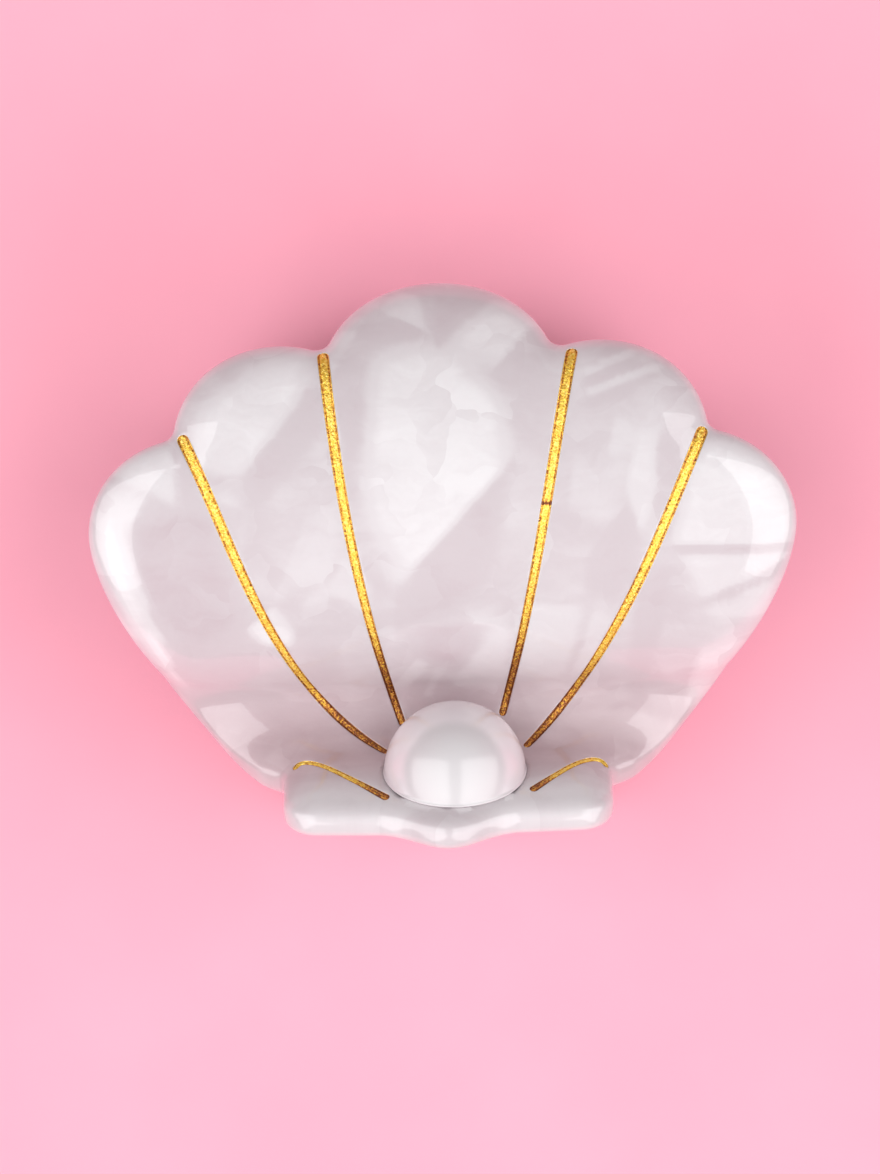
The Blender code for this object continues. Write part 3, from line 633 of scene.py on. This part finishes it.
def gold_line(side, name, seed, material):
    """Glitter laid in a groove: a fine strip of jittered facets, proud in its middle."""
    random = np.random.default_rng(seed)
    path, half = line_path(name, LINE_STEPS)
    lengths = np.r_[0, np.cumsum(np.linalg.norm(np.diff(path, axis=0), axis=1))]
    rows = np.linspace(-half[0], lengths[-1] + half[-1], round(lengths[-1] / STRIP_ROW))
    inner = np.clip(rows, 0, lengths[-1])
    middle = np.column_stack([np.interp(inner, lengths, path[:, k]) for k in (0, 1)])
    ahead = np.column_stack([np.interp(inner, lengths, np.gradient(path, axis=0)[:, k]) for k in (0, 1)])
    ahead /= np.linalg.norm(ahead, axis=1)[:, None]
    width = np.interp(inner, lengths, half)
    over = rows - inner
    middle += ahead * over[:, None]
    width = (width - STRIP_GAP) * np.sqrt(np.clip(1 - (over / width) ** 2, STRIP_END, 1))
    across = np.column_stack((-ahead[:, 1], ahead[:, 0]))
    top = np.linspace(-1, 1, STRIP_TOP)
    columns = np.r_[top, STRIP_FOOT, -STRIP_FOOT]
    crown = -STRIP_SINK - DIP_DEPTH * np.exp(-(((np.abs(top) - DIP_AT) / DIP_WIDTH) ** 2))
    lift = np.tile(np.r_[crown, -STRIP_DEPTH, -STRIP_DEPTH], (len(rows), 1))
    rough, count = slice(1, STRIP_TOP - 1), STRIP_TOP - 2
    lift[:, rough] += random.uniform(-ROUGH_LIFT, ROUGH_LIFT, (len(rows), count))
    flat = middle[:, None, :] + across[:, None, :] * (columns * width[:, None])[..., None]
    flat[1:-1, rough] += random.uniform(-ROUGH_PLACE, ROUGH_PLACE, (len(rows) - 2, count, 2))
    points = face_point(side, flat.reshape(-1, 2), lift.ravel())
    verts, faces = loft(points.reshape(len(rows), len(columns), 3), "cap")
    from_joint = (flat[..., 1].ravel() - FILL_JOINT[2]) / JOINT_WIDTH
    attributes = {
        "along": np.repeat(inner / lengths[-1], len(columns)),
        "across": np.tile(np.abs(columns), len(rows)),
        "joint": np.exp(-(from_joint**2)) * ((side, name) == FILL_JOINT[:2]),
        "flat": np.column_stack((flat.reshape(-1, 2), np.full(len(verts), seed * LINES_APART))),
    }
    piece = add_piece(f"{side}_gold_line_{name}_glitter", verts, faces, material, attributes)
    piece.data.polygons.foreach_set("use_smooth", np.zeros(len(piece.data.polygons), bool))
    return piece


PEARL_SIDES, PEARL_STEPS = 112, 44
PEARL_CAP = 0.6  # radius of the base's middle face, as a share of the pearl's
PEARL_BASE = ((0.0, 0.0), (0.07, 0.05), (0.07, 0.14), (0.03, 0.2), (-0.02, 0.24))  # lip: out and up
DOME_FROM = 0.35  # the round dome begins this high
DOME_TIP = 0.02  # radius of the small face at the top of a pearl or a pin's head


def half_pearl(side, material):
    """A half-round pearl with a thin lip round its flat base."""
    angles = np.linspace(0, 2 * pi, PEARL_SIDES, endpoint=False)
    heights = np.linspace(0.0, pi / 2, PEARL_STEPS)[:-1]
    section = [(PEARL_CAP * PEARL_R, 0.0)]
    section += [(PEARL_R + out, up) for out, up in PEARL_BASE]
    section += [(PEARL_R * cos(a), PEARL_R * sin(a)) for a in heights if PEARL_R * sin(a) > DOME_FROM]
    section.append((DOME_TIP, PEARL_R))
    rings = [tab_plane(side, PEARL_AT[0] + r * np.cos(angles), PEARL_AT[1] + r * np.sin(angles),
                       h - PEARL_SINK + GLUE) for r, h in section]
    return add_piece(f"{side}_pearl_lacquered", *loft(rings, "cap"), material)


LUG_WIDTH = 2.8
LUG_FOOT_HALF = 3.95
LUG_EDGE = 0.3
BOSS_R = 3.1
BOSS_ENDS = (30.0, -210.0)  # angles at which the round end meets the lug's sides
BORE_R = 1.33
BORE_FLARE, FLARE_LENGTH = 1.1, 0.1
LUG_SPACING = 0.25
LUG_SIDE_STEPS, LUG_EDGE_STEPS = 9, 6
GLUE = 0.1
EVEN_TONE = 0.5
SMALL_APART = 40.0  # between small pieces' places in the pattern
LUG_SEED, BAR_SEED, TOOTH_SEED = 5, 6, 7


def lug(side, word, material):
    """A hinge lug with its foot hollowed to sit on the bend, rounded edges and the pin's bore."""
    low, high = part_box(f"{side}_hinge_lug_{word}")
    x = ((low.x + high.x) / 2 / MM - PIN.x) * (1 if side == "front" else -1)
    foot_r = VALLEY_R + SHEET + GLUE
    reach = np.arcsin(LUG_FOOT_HALF / foot_r)
    foot = arc((0, VALLEY_CENTRE_Z), foot_r, -pi / 2 - reach, -pi / 2 + reach, LUG_SPACING)
    round_end = arc((0, 0), BOSS_R, radians(BOSS_ENDS[0]), radians(BOSS_ENDS[1]), LUG_SPACING)
    right_side = np.linspace(foot[-1], round_end[0], LUG_SIDE_STEPS)[1:-1]
    outline = np.vstack((foot, right_side, round_end, right_side[::-1] * (-1, 1)))
    radius = np.linalg.norm(outline, axis=1)[:, None]
    bore = outline / radius * BORE_R
    half = LUG_WIDTH / 2
    rings = []
    turns = np.linspace(0, pi / 2, LUG_EDGE_STEPS)
    right = [(half - LUG_EDGE * (1 - sin(t)), LUG_EDGE * (1 - cos(t))) for t in turns]
    stations = [(-x_at, inset) for x_at, inset in right[::-1]] + right
    for x_at, inset in stations:
        ring = outline * (1 - inset / radius)
        rings.append(np.column_stack((np.full(len(ring), x_at), ring)))
    straight = half - FLARE_LENGTH
    for x_at, grow in ((half, BORE_FLARE), (straight, 1.0), (-straight, 1.0), (-half, BORE_FLARE)):
        rings.append(np.column_stack((np.full(len(bore), x_at), bore * grow)))
    verts, faces = loft(rings, "wrap")
    world = to_world(side, verts[:, 0] + x, verts[:, 1], verts[:, 2])
    return add_piece(f"{side}_hinge_lug_{word}_moulded", world, faces, material, plain_tone(verts, LUG_SEED))


def plain_tone(verts, seed):
    """Attributes for a small acetate piece: its own coordinates and an even tone."""
    flat = verts + np.array((0.0, 0.0, SMALL_APART * seed))
    return {"tone": np.full(len(verts), EVEN_TONE), "flat": flat}


PIN_R = 1.25
PIN_HEAD_R = 2.0
PIN_HEAD = 0.9
PIN_SIDES, DOME_STEPS = 56, 9
DOME_BASE, DOME_POWER = 0.25, 0.8
HEAD_BEVEL = (0.08, 0.12)  # along the pin and across it


def hinge_pin(material):
    """A steel pin with a domed, peened head at each end."""
    low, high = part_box("hinge_pin")
    half = (high.x - low.x) / 2 / MM - PIN_HEAD
    head = []
    for t in np.linspace(0, pi / 2, DOME_STEPS)[:-1]:
        x = half + DOME_BASE + (PIN_HEAD - DOME_BASE) * sin(t)
        head.append((x, PIN_HEAD_R * cos(t) ** DOME_POWER))
    bevel = [(half, PIN_HEAD_R - HEAD_BEVEL[1]), (half + HEAD_BEVEL[0], PIN_HEAD_R)]
    dome = [(half, PIN_R), *bevel, *head, (half + PIN_HEAD, DOME_TIP)]
    angles = np.linspace(0, 2 * pi, PIN_SIDES, endpoint=False)
    rings = []
    for x, r in [(-x, r) for x, r in dome[::-1]] + dome:
        rings.append(np.column_stack((np.full(PIN_SIDES, x), r * np.cos(angles), r * np.sin(angles))))
    verts, faces = loft(rings, "cap")
    return add_piece("hinge_pin_peened", to_world("front", *verts.T), faces, material)


WIRE_R = 0.45
COIL_R = 2.2
COIL_TURNS = 4.5
COIL_PITCH = 1.3
LEG_BEND = (-4.45, 2.55)
LEG_END_V = 2.6
LEG_CORNER = 1.2  # from a leg's sharp bend to its round one's ends
CORNER_STEPS, LEG_STEPS, TURN_STEPS = 14, (12, 8), 44
WIRE_SIDES = 18
WIRE_TIP = ((0.92, 0.08), (0.75, 0.16), (0.45, 0.22))  # a cut end's rings: size, and how far out
BLEND_IN = 0.05  # the coil's end points, worked out but not used, keep this much further in than the legs


def spring_path():
    """The wire's middle line about the pin: the front tab's leg, the coil, the back tab's leg."""
    bend_y, bend_z = LEG_BEND
    coil_half = COIL_TURNS * COIL_PITCH / 2
    y, z, slope = (float(a) for a in profile(LEG_END_V))
    inset = SHEET + WIRE_R + GLUE
    end = np.array((coil_half, y + inset * sin(slope), z - inset * cos(slope)))
    touch = atan2(bend_z, bend_y) - acos(COIL_R / hypot(bend_y, bend_z))
    elbow = np.array((coil_half, bend_y, bend_z))
    meet = np.array((coil_half, COIL_R * cos(touch), COIL_R * sin(touch)))
    to_end = (end - elbow) / np.linalg.norm(end - elbow)
    to_coil = (meet - elbow) / np.linalg.norm(meet - elbow)
    t = np.linspace(0, 1, CORNER_STEPS)[:, None]
    a, c = elbow + to_end * LEG_CORNER, elbow + to_coil * LEG_CORNER
    corner = (1 - t) ** 2 * a + 2 * t * (1 - t) * elbow + t * t * c
    outer_part = np.linspace(end, a, LEG_STEPS[0])[:-1]
    inner_part = np.linspace(c, meet, LEG_STEPS[1])[1:-1]
    leg = np.vstack((outer_part, corner, inner_part))
    wound = 2 * pi * int(COIL_TURNS) + 2 * touch
    t = np.linspace(0, 1, round(COIL_TURNS * TURN_STEPS))
    coil = np.column_stack((coil_half * (1 - 2 * t), COIL_R * np.cos(touch - wound * t),
                            COIL_R * np.sin(touch - wound * t)))
    return np.vstack((leg, coil, leg[::-1] * (-1, 1, -1)))


def torsion_spring(material):
    """Round wire swept along the path, its cut ends rounded over."""
    path = spring_path()
    ahead = np.gradient(path, axis=0)
    ahead /= np.linalg.norm(ahead, axis=1)[:, None]
    angles = np.linspace(0, 2 * pi, WIRE_SIDES, endpoint=False)
    normal = np.cross(ahead[0], (1.0, 0.0, 0.0))
    rings = []
    for point, along in zip(path, ahead):
        normal = normal - along * (normal @ along)
        normal /= np.linalg.norm(normal)
        binormal = np.cross(along, normal)
        ring = np.cos(angles)[:, None] * normal + np.sin(angles)[:, None] * binormal
        rings.append(point + ring * WIRE_R)
    for end, sign in ((0, -1), (-1, 1)):
        cap = [path[end] + (rings[end] - path[end]) * shrink + ahead[end] * sign * out
               for shrink, out in WIRE_TIP]
        rings = cap[::-1] + rings if end == 0 else rings + cap
    verts, faces = loft(rings, "cap")
    piece = add_piece("torsion_spring_wire", to_world("back", *verts.T), faces, material)
    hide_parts("torsion_spring")
    reach = COIL_TURNS * COIL_PITCH / 2 - WIRE_R - BLEND_IN
    ends = [tuple(to_world("front", x, 0.0, 0.0)[0]) for x in (-reach, reach)]
    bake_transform(piece)


COMB_V = 44.0
COMB_BAR = (38.0, 5.0, 2.2)  # length, width along the sheet and thickness
BAR_ROUND = 0.7
BAR_ROUND_STEPS, BAR_SPANS = 6, 40
BAR_END_TURN = 1.3  # angle through which the bar's ends round over
TOOTH_PITCH = 7.0
TOOTH_ROOT = (1.25, 2.3)
TOOTH_TAPER = 0.45
TOOTH_SIDES, TOOTH_STEPS, TIP_STEPS = 28, 40, 12
TIP_TURN = (0.1, 1.45)  # angles of a tip's first and last rings
TOOTH_FLARE, FLARE_FADE = 0.35, 0.7
TOOTH_UPRIGHT = 3  # one over the share of its length that leans with the bar
TOOTH_TIP_GAP = 6.0
TEETH = {"front": 5, "back": 6}


def comb_bar(side, material):
    """A rounded bar under the fan, bent with the sheet."""
    length, width, thick = COMB_BAR
    top = -SHEET - GLUE
    corners = []
    for v_sign, n_sign, first in ((1, 1, 0), (-1, 1, 1), (-1, -1, 2), (1, -1, 3)):
        for t in np.linspace(first * pi / 2, (first + 1) * pi / 2, BAR_ROUND_STEPS):
            corners.append((v_sign, n_sign, cos(t), sin(t)))
    rings = []
    turns = np.linspace(0, BAR_END_TURN, BAR_ROUND_STEPS)
    ends = [(-length / 2 + BAR_ROUND * (1 - sin(t)), BAR_ROUND * (1 - cos(t))) for t in turns[::-1]]
    middle = np.linspace(-length / 2 + BAR_ROUND, length / 2 - BAR_ROUND, BAR_SPANS)[1:-1]
    spans = ends + [(x, 0.0) for x in middle] + [(-x, inset) for x, inset in ends[::-1]]
    for x, inset in spans:
        ring = []
        for v_sign, n_sign, c, s in corners:
            v = v_sign * (width / 2 - BAR_ROUND) + (BAR_ROUND - inset) * c
            n = n_sign * (thick / 2 - BAR_ROUND) + (BAR_ROUND - inset) * s
            ring.append((x, COMB_V + v, top - thick / 2 + n))
        rings.append(ring)
    verts, faces = loft(rings, "cap")
    world = bend(side, *verts.T)
    return add_piece(f"{side}_comb_moulded", world, faces, material, plain_tone(verts, BAR_SEED))


def tooth(side, x, material):
    """A curved tooth on an arc about the pin, flared where it leaves the bar and round at its tip."""
    thick = COMB_BAR[2]
    y, z, lean = (float(a) for a in profile(COMB_V))
    inset = SHEET + GLUE + thick / 2
    y, z = y + inset * sin(lean), z - inset * cos(lean)
    swing = hypot(y, z)
    start = atan2(z, y)
    end = (thick / 2 + TOOTH_TIP_GAP) / swing - start
    length = (start - end) * swing
    angles = np.linspace(0, 2 * pi, TOOTH_SIDES, endpoint=False)
    tip = TOOTH_ROOT[1] * TOOTH_TAPER
    tip_turns = np.linspace(*TIP_TURN, TIP_STEPS)
    along = np.r_[np.linspace(0, length - tip, TOOTH_STEPS), length - tip + tip * np.sin(tip_turns)]
    rings = []
    for s in along:
        t = s / length
        angle = start - s / swing
        tilt = lean + (angle - lean) * min(1.0, TOOTH_UPRIGHT * t)
        shrink = 1 - (1 - TOOTH_TAPER) * t
        over = max(0.0, (s - length + tip) / tip)
        shrink *= sqrt(max(0.0, 1 - over * over))
        shrink *= 1 + TOOTH_FLARE * np.exp(-max(0.0, s - thick / 2) / FLARE_FADE)
        middle = np.array((x, swing * cos(angle), swing * sin(angle)))
        out = TOOTH_ROOT[1] * shrink * np.sin(angles)
        side_x = TOOTH_ROOT[0] * shrink * np.cos(angles)
        rings.append(middle + np.column_stack((side_x, out * cos(tilt), out * sin(tilt))))
    verts, faces = loft(rings, "cap")
    return add_piece("tooth", to_world(side, *verts.T), faces, material, plain_tone(verts, TOOTH_SEED))


def comb(side, material):
    piece = comb_bar(side, material)
    count = TEETH[side]
    teeth = [tooth(side, (i - (count - 1) / 2) * TOOTH_PITCH, material) for i in range(count)]
    for one in teeth:
        joined = piece.modifiers.new(one.name, "BOOLEAN")
        joined.operation = "UNION"
        joined.object = one
    graph = bpy.context.evaluated_depsgraph_get()
    piece.data = bpy.data.meshes.new_from_object(piece.evaluated_get(graph))
    piece.modifiers.clear()
    for one in teeth:
        bpy.data.objects.remove(one)
    return piece


# Materials

class Nodes:
    """Builds a node material; an input takes a value, or the socket of another node."""

    def __init__(self, name):
        self.material = bpy.data.materials.new(name)
        self.material.use_nodes = True
        self.tree = self.material.node_tree
        self.shader = self.tree.nodes["Principled BSDF"]

    def set(self, node, inputs):
        for key, value in inputs.items():
            socket = node.inputs[key]
            if isinstance(value, bpy.types.NodeSocket):
                self.tree.links.new(value, socket)
            else:
                socket.default_value = value

    def add(self, kind, inputs=None, out=0, **settings):
        node = self.tree.nodes.new("ShaderNode" + kind)
        for key, value in settings.items():
            setattr(node, key, value)
        self.set(node, inputs or {})
        return node.outputs[out]

    def math(self, operation, *values):
        return self.add("Math", dict(enumerate(values)), operation=operation)

    def vector(self, operation, *values, out=0):
        return self.add("VectorMath", dict(enumerate(values)), out, operation=operation)

    def attribute(self, name, out):
        return self.add("Attribute", out=out, attribute_name=name)

    def noise(self, at, scale, detail=3.0, distortion=0.0, out="Fac"):
        return self.add("TexNoise", {"Vector": at, "Scale": scale, "Detail": detail,
                                               "Distortion": distortion}, out)

    def ramp(self, value, *stops):
        ramp = self.tree.nodes.new("ShaderNodeValToRGB")
        ramp.color_ramp.interpolation = "EASE"
        for i, (place, colour) in enumerate(stops):
            stop = ramp.color_ramp.elements[i] if i < 2 else ramp.color_ramp.elements.new(place)
            stop.position = place
            stop.color = (*colour, 1.0)
        self.set(ramp, {"Fac": value})
        return ramp.outputs[0]

    def smooth(self, value, start, end):
        """0 at start and 1 at end, with soft corners."""
        return self.add("MapRange", {"Value": value, "From Min": start, "From Max": end},
                        interpolation_type="SMOOTHSTEP")

    def mix(self, factor, a, b, blend="MIX"):
        """A colour mix; its sockets are picked by number because their names repeat."""
        node = self.tree.nodes.new("ShaderNodeMix")
        node.data_type = "RGBA"
        node.blend_type = blend
        for number, value in ((0, factor), (6, a), (7, b)):
            self.set(node, {number: (*value, 1.0) if isinstance(value, tuple) else value})
        return node.outputs[2]

    def bump(self, height, strength, distance):
        return self.add("Bump", {"Height": height, "Strength": strength, "Distance": distance})


def acetate_material():
    """Pearly acetate: angular chips of different brightness under a clear polished surface, with painted
    shade around the valley and, in its tone, a painted reflection band.
    """
    m = Nodes("acetate_pearly")
    flat = m.attribute("flat", "Vector")
    tone = m.attribute("tone", "Fac")
    wander = m.noise(flat, 0.22, 2.0, out="Color")
    warped = m.vector("MULTIPLY_ADD", wander, (5.0, 5.0, 5.0), flat)
    chips = m.tree.nodes.new("ShaderNodeTexVoronoi")
    m.set(chips, {"Vector": warped, "Scale": 0.21, "Randomness": 1.0})
    chip = chips.outputs
    facing = m.vector("SUBTRACT", chip["Color"], (0.5, 0.5, 0.5))
    from_middle = m.vector("SUBTRACT", warped, chip["Position"])
    across_chip = m.vector("DOT_PRODUCT", facing, from_middle, out="Value")
    silk = m.noise(m.vector("MULTIPLY", warped, (0.35, 1.4, 1.0)), 0.5, 4.0, 0.8)
    fine = m.noise(flat, 2.2, 3.0, 0.3)
    value = m.math("ADD", tone, m.math("MULTIPLY", across_chip, 0.045))
    value = m.math("ADD", value, m.math("MULTIPLY", m.math("SUBTRACT", silk, 0.5), 0.22))
    value = m.math("ADD", value, m.math("MULTIPLY", m.math("SUBTRACT", fine, 0.5), 0.06))
    colour = m.ramp(value, (0.0, (0.48, 0.39, 0.42)), (1.0, (0.70, 0.67, 0.685)),
                    (0.35, (0.53, 0.465, 0.49)), (0.7, (0.61, 0.565, 0.585)))
    # Painted shade: darker and pinker around the valley, from the fan's low part down onto the tab, fading
    # out again near the tab's end, like shade with the floor's pink bounce light
    v = m.add("SeparateXYZ", {"Vector": flat}, 1)
    valley = m.math("MULTIPLY", m.smooth(v, 23.0, 10.0), m.smooth(v, 2.0, 8.0))
    colour = m.mix(valley, colour, (0.93, 0.78, 0.80), "MULTIPLY")
    m.set(m.shader, {
        "Base Color": colour, "Roughness": 0.30, "IOR": 1.48, "Specular IOR Level": 0.5,
        "Coat Weight": 1.0, "Coat Roughness": 0.02, "Coat IOR": 1.5,
        "Subsurface Weight": 0.25, "Subsurface Radius": (1.0, 0.85, 0.88), "Subsurface Scale": 0.0012,
        "Normal": m.bump(m.noise(flat, 0.9, 2.0), 0.06, 0.0004),
    })
    return m.material


def pearl_material():
    """Lacquered imitation pearl: white, with a painted darker ring and a painted pinkish reflection towards
    its edge.
    """
    m = Nodes("pearl_lacquer")
    at = m.add("TexCoord", out="Object")
    cloud = m.noise(at, 220.0, 4.0, 0.4)
    # Painted reflection: the colour follows how far the surface turns from the view, with a slightly darker
    # ring and then a paler pinkish rim like the pink floor reflected
    rim = m.add("LayerWeight", {"Blend": 0.35}, "Facing")
    value = m.math("MULTIPLY_ADD", m.math("SUBTRACT", cloud, 0.5), 0.12, rim)
    colour = m.ramp(value, (0.0, (0.58, 0.55, 0.565)), (1.0, (0.82, 0.71, 0.75)),
                    (0.15, (0.57, 0.52, 0.54)), (0.27, (0.66, 0.59, 0.62)))
    m.set(m.shader, {
        "Base Color": colour, "Roughness": 0.3, "IOR": 1.5, "Specular IOR Level": 0.4,
        "Coat Weight": 1.0, "Coat Roughness": 0.16, "Coat IOR": 1.5,
        "Sheen Weight": 0.15, "Sheen Roughness": 0.4,
        "Normal": m.bump(m.noise(at, 900.0, 3.0), 0.05, 0.00005),
    })
    return m.material


def gold_material():
    """Gold glitter: bright and dark flakes, with painted shade where the line turns down to the pearl."""
    m = Nodes("gold_glitter_fill")
    flat = m.attribute("flat", "Vector")
    along = m.attribute("along", "Fac")
    across = m.attribute("across", "Fac")
    flakes = m.add("TexVoronoi", {"Vector": flat, "Scale": 7.5}, "Color")
    flake = m.add("SeparateColor", {"Color": flakes}, 0)
    grain = m.noise(flat, 5.0, 3.0)
    value = m.math("MULTIPLY_ADD", m.math("SUBTRACT", flake, 0.5), 0.42, 0.66)
    value = m.math("MULTIPLY_ADD", m.math("SUBTRACT", grain, 0.5), 0.5, value)
    dark_line = m.math("MULTIPLY", m.smooth(across, 0.5, 0.76), m.smooth(across, 0.98, 0.84))
    value = m.math("MULTIPLY_ADD", dark_line, -0.36, value)
    # Painted shade: the glitter darkens towards the line's far end by the pearl, where it turns down into
    # the valley
    value = m.math("MULTIPLY_ADD", m.smooth(along, 0.62, 0.9), -0.40, value)
    value = m.math("MULTIPLY_ADD", m.attribute("joint", "Fac"), -0.8, value)
    colour = m.ramp(value, (0.1, (0.19, 0.045, 0.008)), (0.95, (0.96, 0.76, 0.20)),
                    (0.33, (0.54, 0.20, 0.025)), (0.6, (0.88, 0.56, 0.06)))
    m.set(m.shader, {
        "Base Color": colour, "Roughness": 0.38, "Metallic": 0.7, "IOR": 1.5,
        "Coat Weight": 0.4, "Coat Roughness": 0.15,
        "Normal": m.bump(flake, 0.4, 0.00004),
    })
    return m.material


def steel_material():
    """Bright drawn steel with fine scratches."""
    m = Nodes("spring_steel_bright")
    at = m.add("TexCoord", out="Object")
    scratch = m.noise(m.vector("MULTIPLY", at, (9000.0, 1500.0, 1500.0)), 1.0, 4.0)
    colour = m.ramp(scratch, (0.2, (0.50, 0.48, 0.45)), (0.8, (0.72, 0.70, 0.67)))
    rough = m.math("MULTIPLY_ADD", scratch, 0.2, 0.14)
    m.set(m.shader, {
        "Base Color": colour, "Metallic": 1.0, "Roughness": rough,
        "Normal": m.bump(scratch, 0.08, 0.00003),
    })
    return m.material


def floor_material():
    """Pale pink paper."""
    m = Nodes("pale_paper")
    at = m.add("TexCoord", out="Object")
    cloud = m.noise(at, 40.0, 3.0)
    colour = m.ramp(cloud, (0.3, (0.87, 0.355, 0.457)), (0.7, (0.90, 0.375, 0.477)))
    m.set(m.shader, {
        "Base Color": colour, "Roughness": 0.75, "Specular IOR Level": 0.25,
        "Normal": m.bump(m.noise(at, 2500.0, 2.0), 0.08, 0.0001),
    })
    return m.material


# The object

acetate, pearl, gold, steel = acetate_material(), pearl_material(), gold_material(), steel_material()
outer, inner = outer_sheet(), inner_sheet()
for side, seed in (("front", 1), ("back", 2)):
    stand_for(shell(side, seed, outer, inner, acetate), f"{side}_shell")
    for i, name in enumerate(GOLD_LINES):
        piece = gold_line(side, name, seed * 10 + i, gold)
        stand_for(piece, f"{side}_gold_line_{name}")
    stand_for(half_pearl(side, pearl), f"{side}_pearl")
    stand_for(comb(side, acetate), f"{side}_comb")
    for word in ("left", "right"):
        stand_for(lug(side, word, acetate), f"{side}_hinge_lug_{word}")
stand_for(hinge_pin(steel), "hinge_pin")
torsion_spring(steel)


# The studio

FLOOR_HALF, FLOOR_Z = 4.0, -0.00005
SOFTBOX_X, SOFTBOX_Y, SOFTBOX_Z = 1.73, -1.5, 1.92
SOFTBOX_SIZE, SOFTBOX_POWER = (5.0, 3.2), 113.0
CAMERA_AT, CAMERA_TURN = (-0.000325, -0.00199, 0.483), -1.237
SENSOR_WIDTH, LENS = 36.0, 164.5
NEAREST, FARTHEST = 0.01, 20.0
WORLD_COLOUR, WORLD_STRENGTH = (1.0, 0.985, 0.98, 1.0), 0.25


def add_floor():
    mesh = bpy.data.meshes.new("floor")
    half, z = FLOOR_HALF, FLOOR_Z
    corners = [(-half, -half, z), (half, -half, z), (half, half, z), (-half, half, z)]
    mesh.from_pydata(corners, [], [(0, 1, 2, 3)])
    mesh.materials.append(floor_material())
    floor = bpy.data.objects.new("floor", mesh)
    add_to_scene(floor)


def add_softbox(name, place, size, power):
    """A rectangular light that faces the clip."""
    light = bpy.data.lights.new(name, "AREA")
    light.shape = "RECTANGLE"
    light.size, light.size_y = size
    light.energy = power
    box = bpy.data.objects.new(name, light)
    box.location = place
    box.rotation_euler = (Vector((0.0, place[1], 0.0)) - Vector(place)).to_track_quat("-Z", "Y").to_euler()
    add_to_scene(box)


def add_camera():
    """Straight over the clip and turned a little, with a long lens."""
    camera = bpy.data.cameras.new("camera")
    camera.sensor_width = SENSOR_WIDTH
    camera.lens = LENS
    camera.clip_start, camera.clip_end = NEAREST, FARTHEST
    holder = bpy.data.objects.new("camera", camera)
    holder.location = CAMERA_AT
    holder.rotation_euler = (0.0, 0.0, radians(CAMERA_TURN))
    add_to_scene(holder)
    bpy.context.scene.camera = holder


def add_world():
    world = bpy.data.worlds.new("studio")
    world.use_nodes = True
    background = world.node_tree.nodes["Background"]
    background.inputs["Color"].default_value = WORLD_COLOUR
    background.inputs["Strength"].default_value = WORLD_STRENGTH
    bpy.context.scene.world = world


add_floor()
add_softbox("softbox_left", (-SOFTBOX_X, SOFTBOX_Y, SOFTBOX_Z), SOFTBOX_SIZE, SOFTBOX_POWER)
add_softbox("softbox_right", (SOFTBOX_X, SOFTBOX_Y, SOFTBOX_Z), SOFTBOX_SIZE, SOFTBOX_POWER)
add_camera()
add_world()
bpy.context.scene.view_settings.view_transform = "Standard"
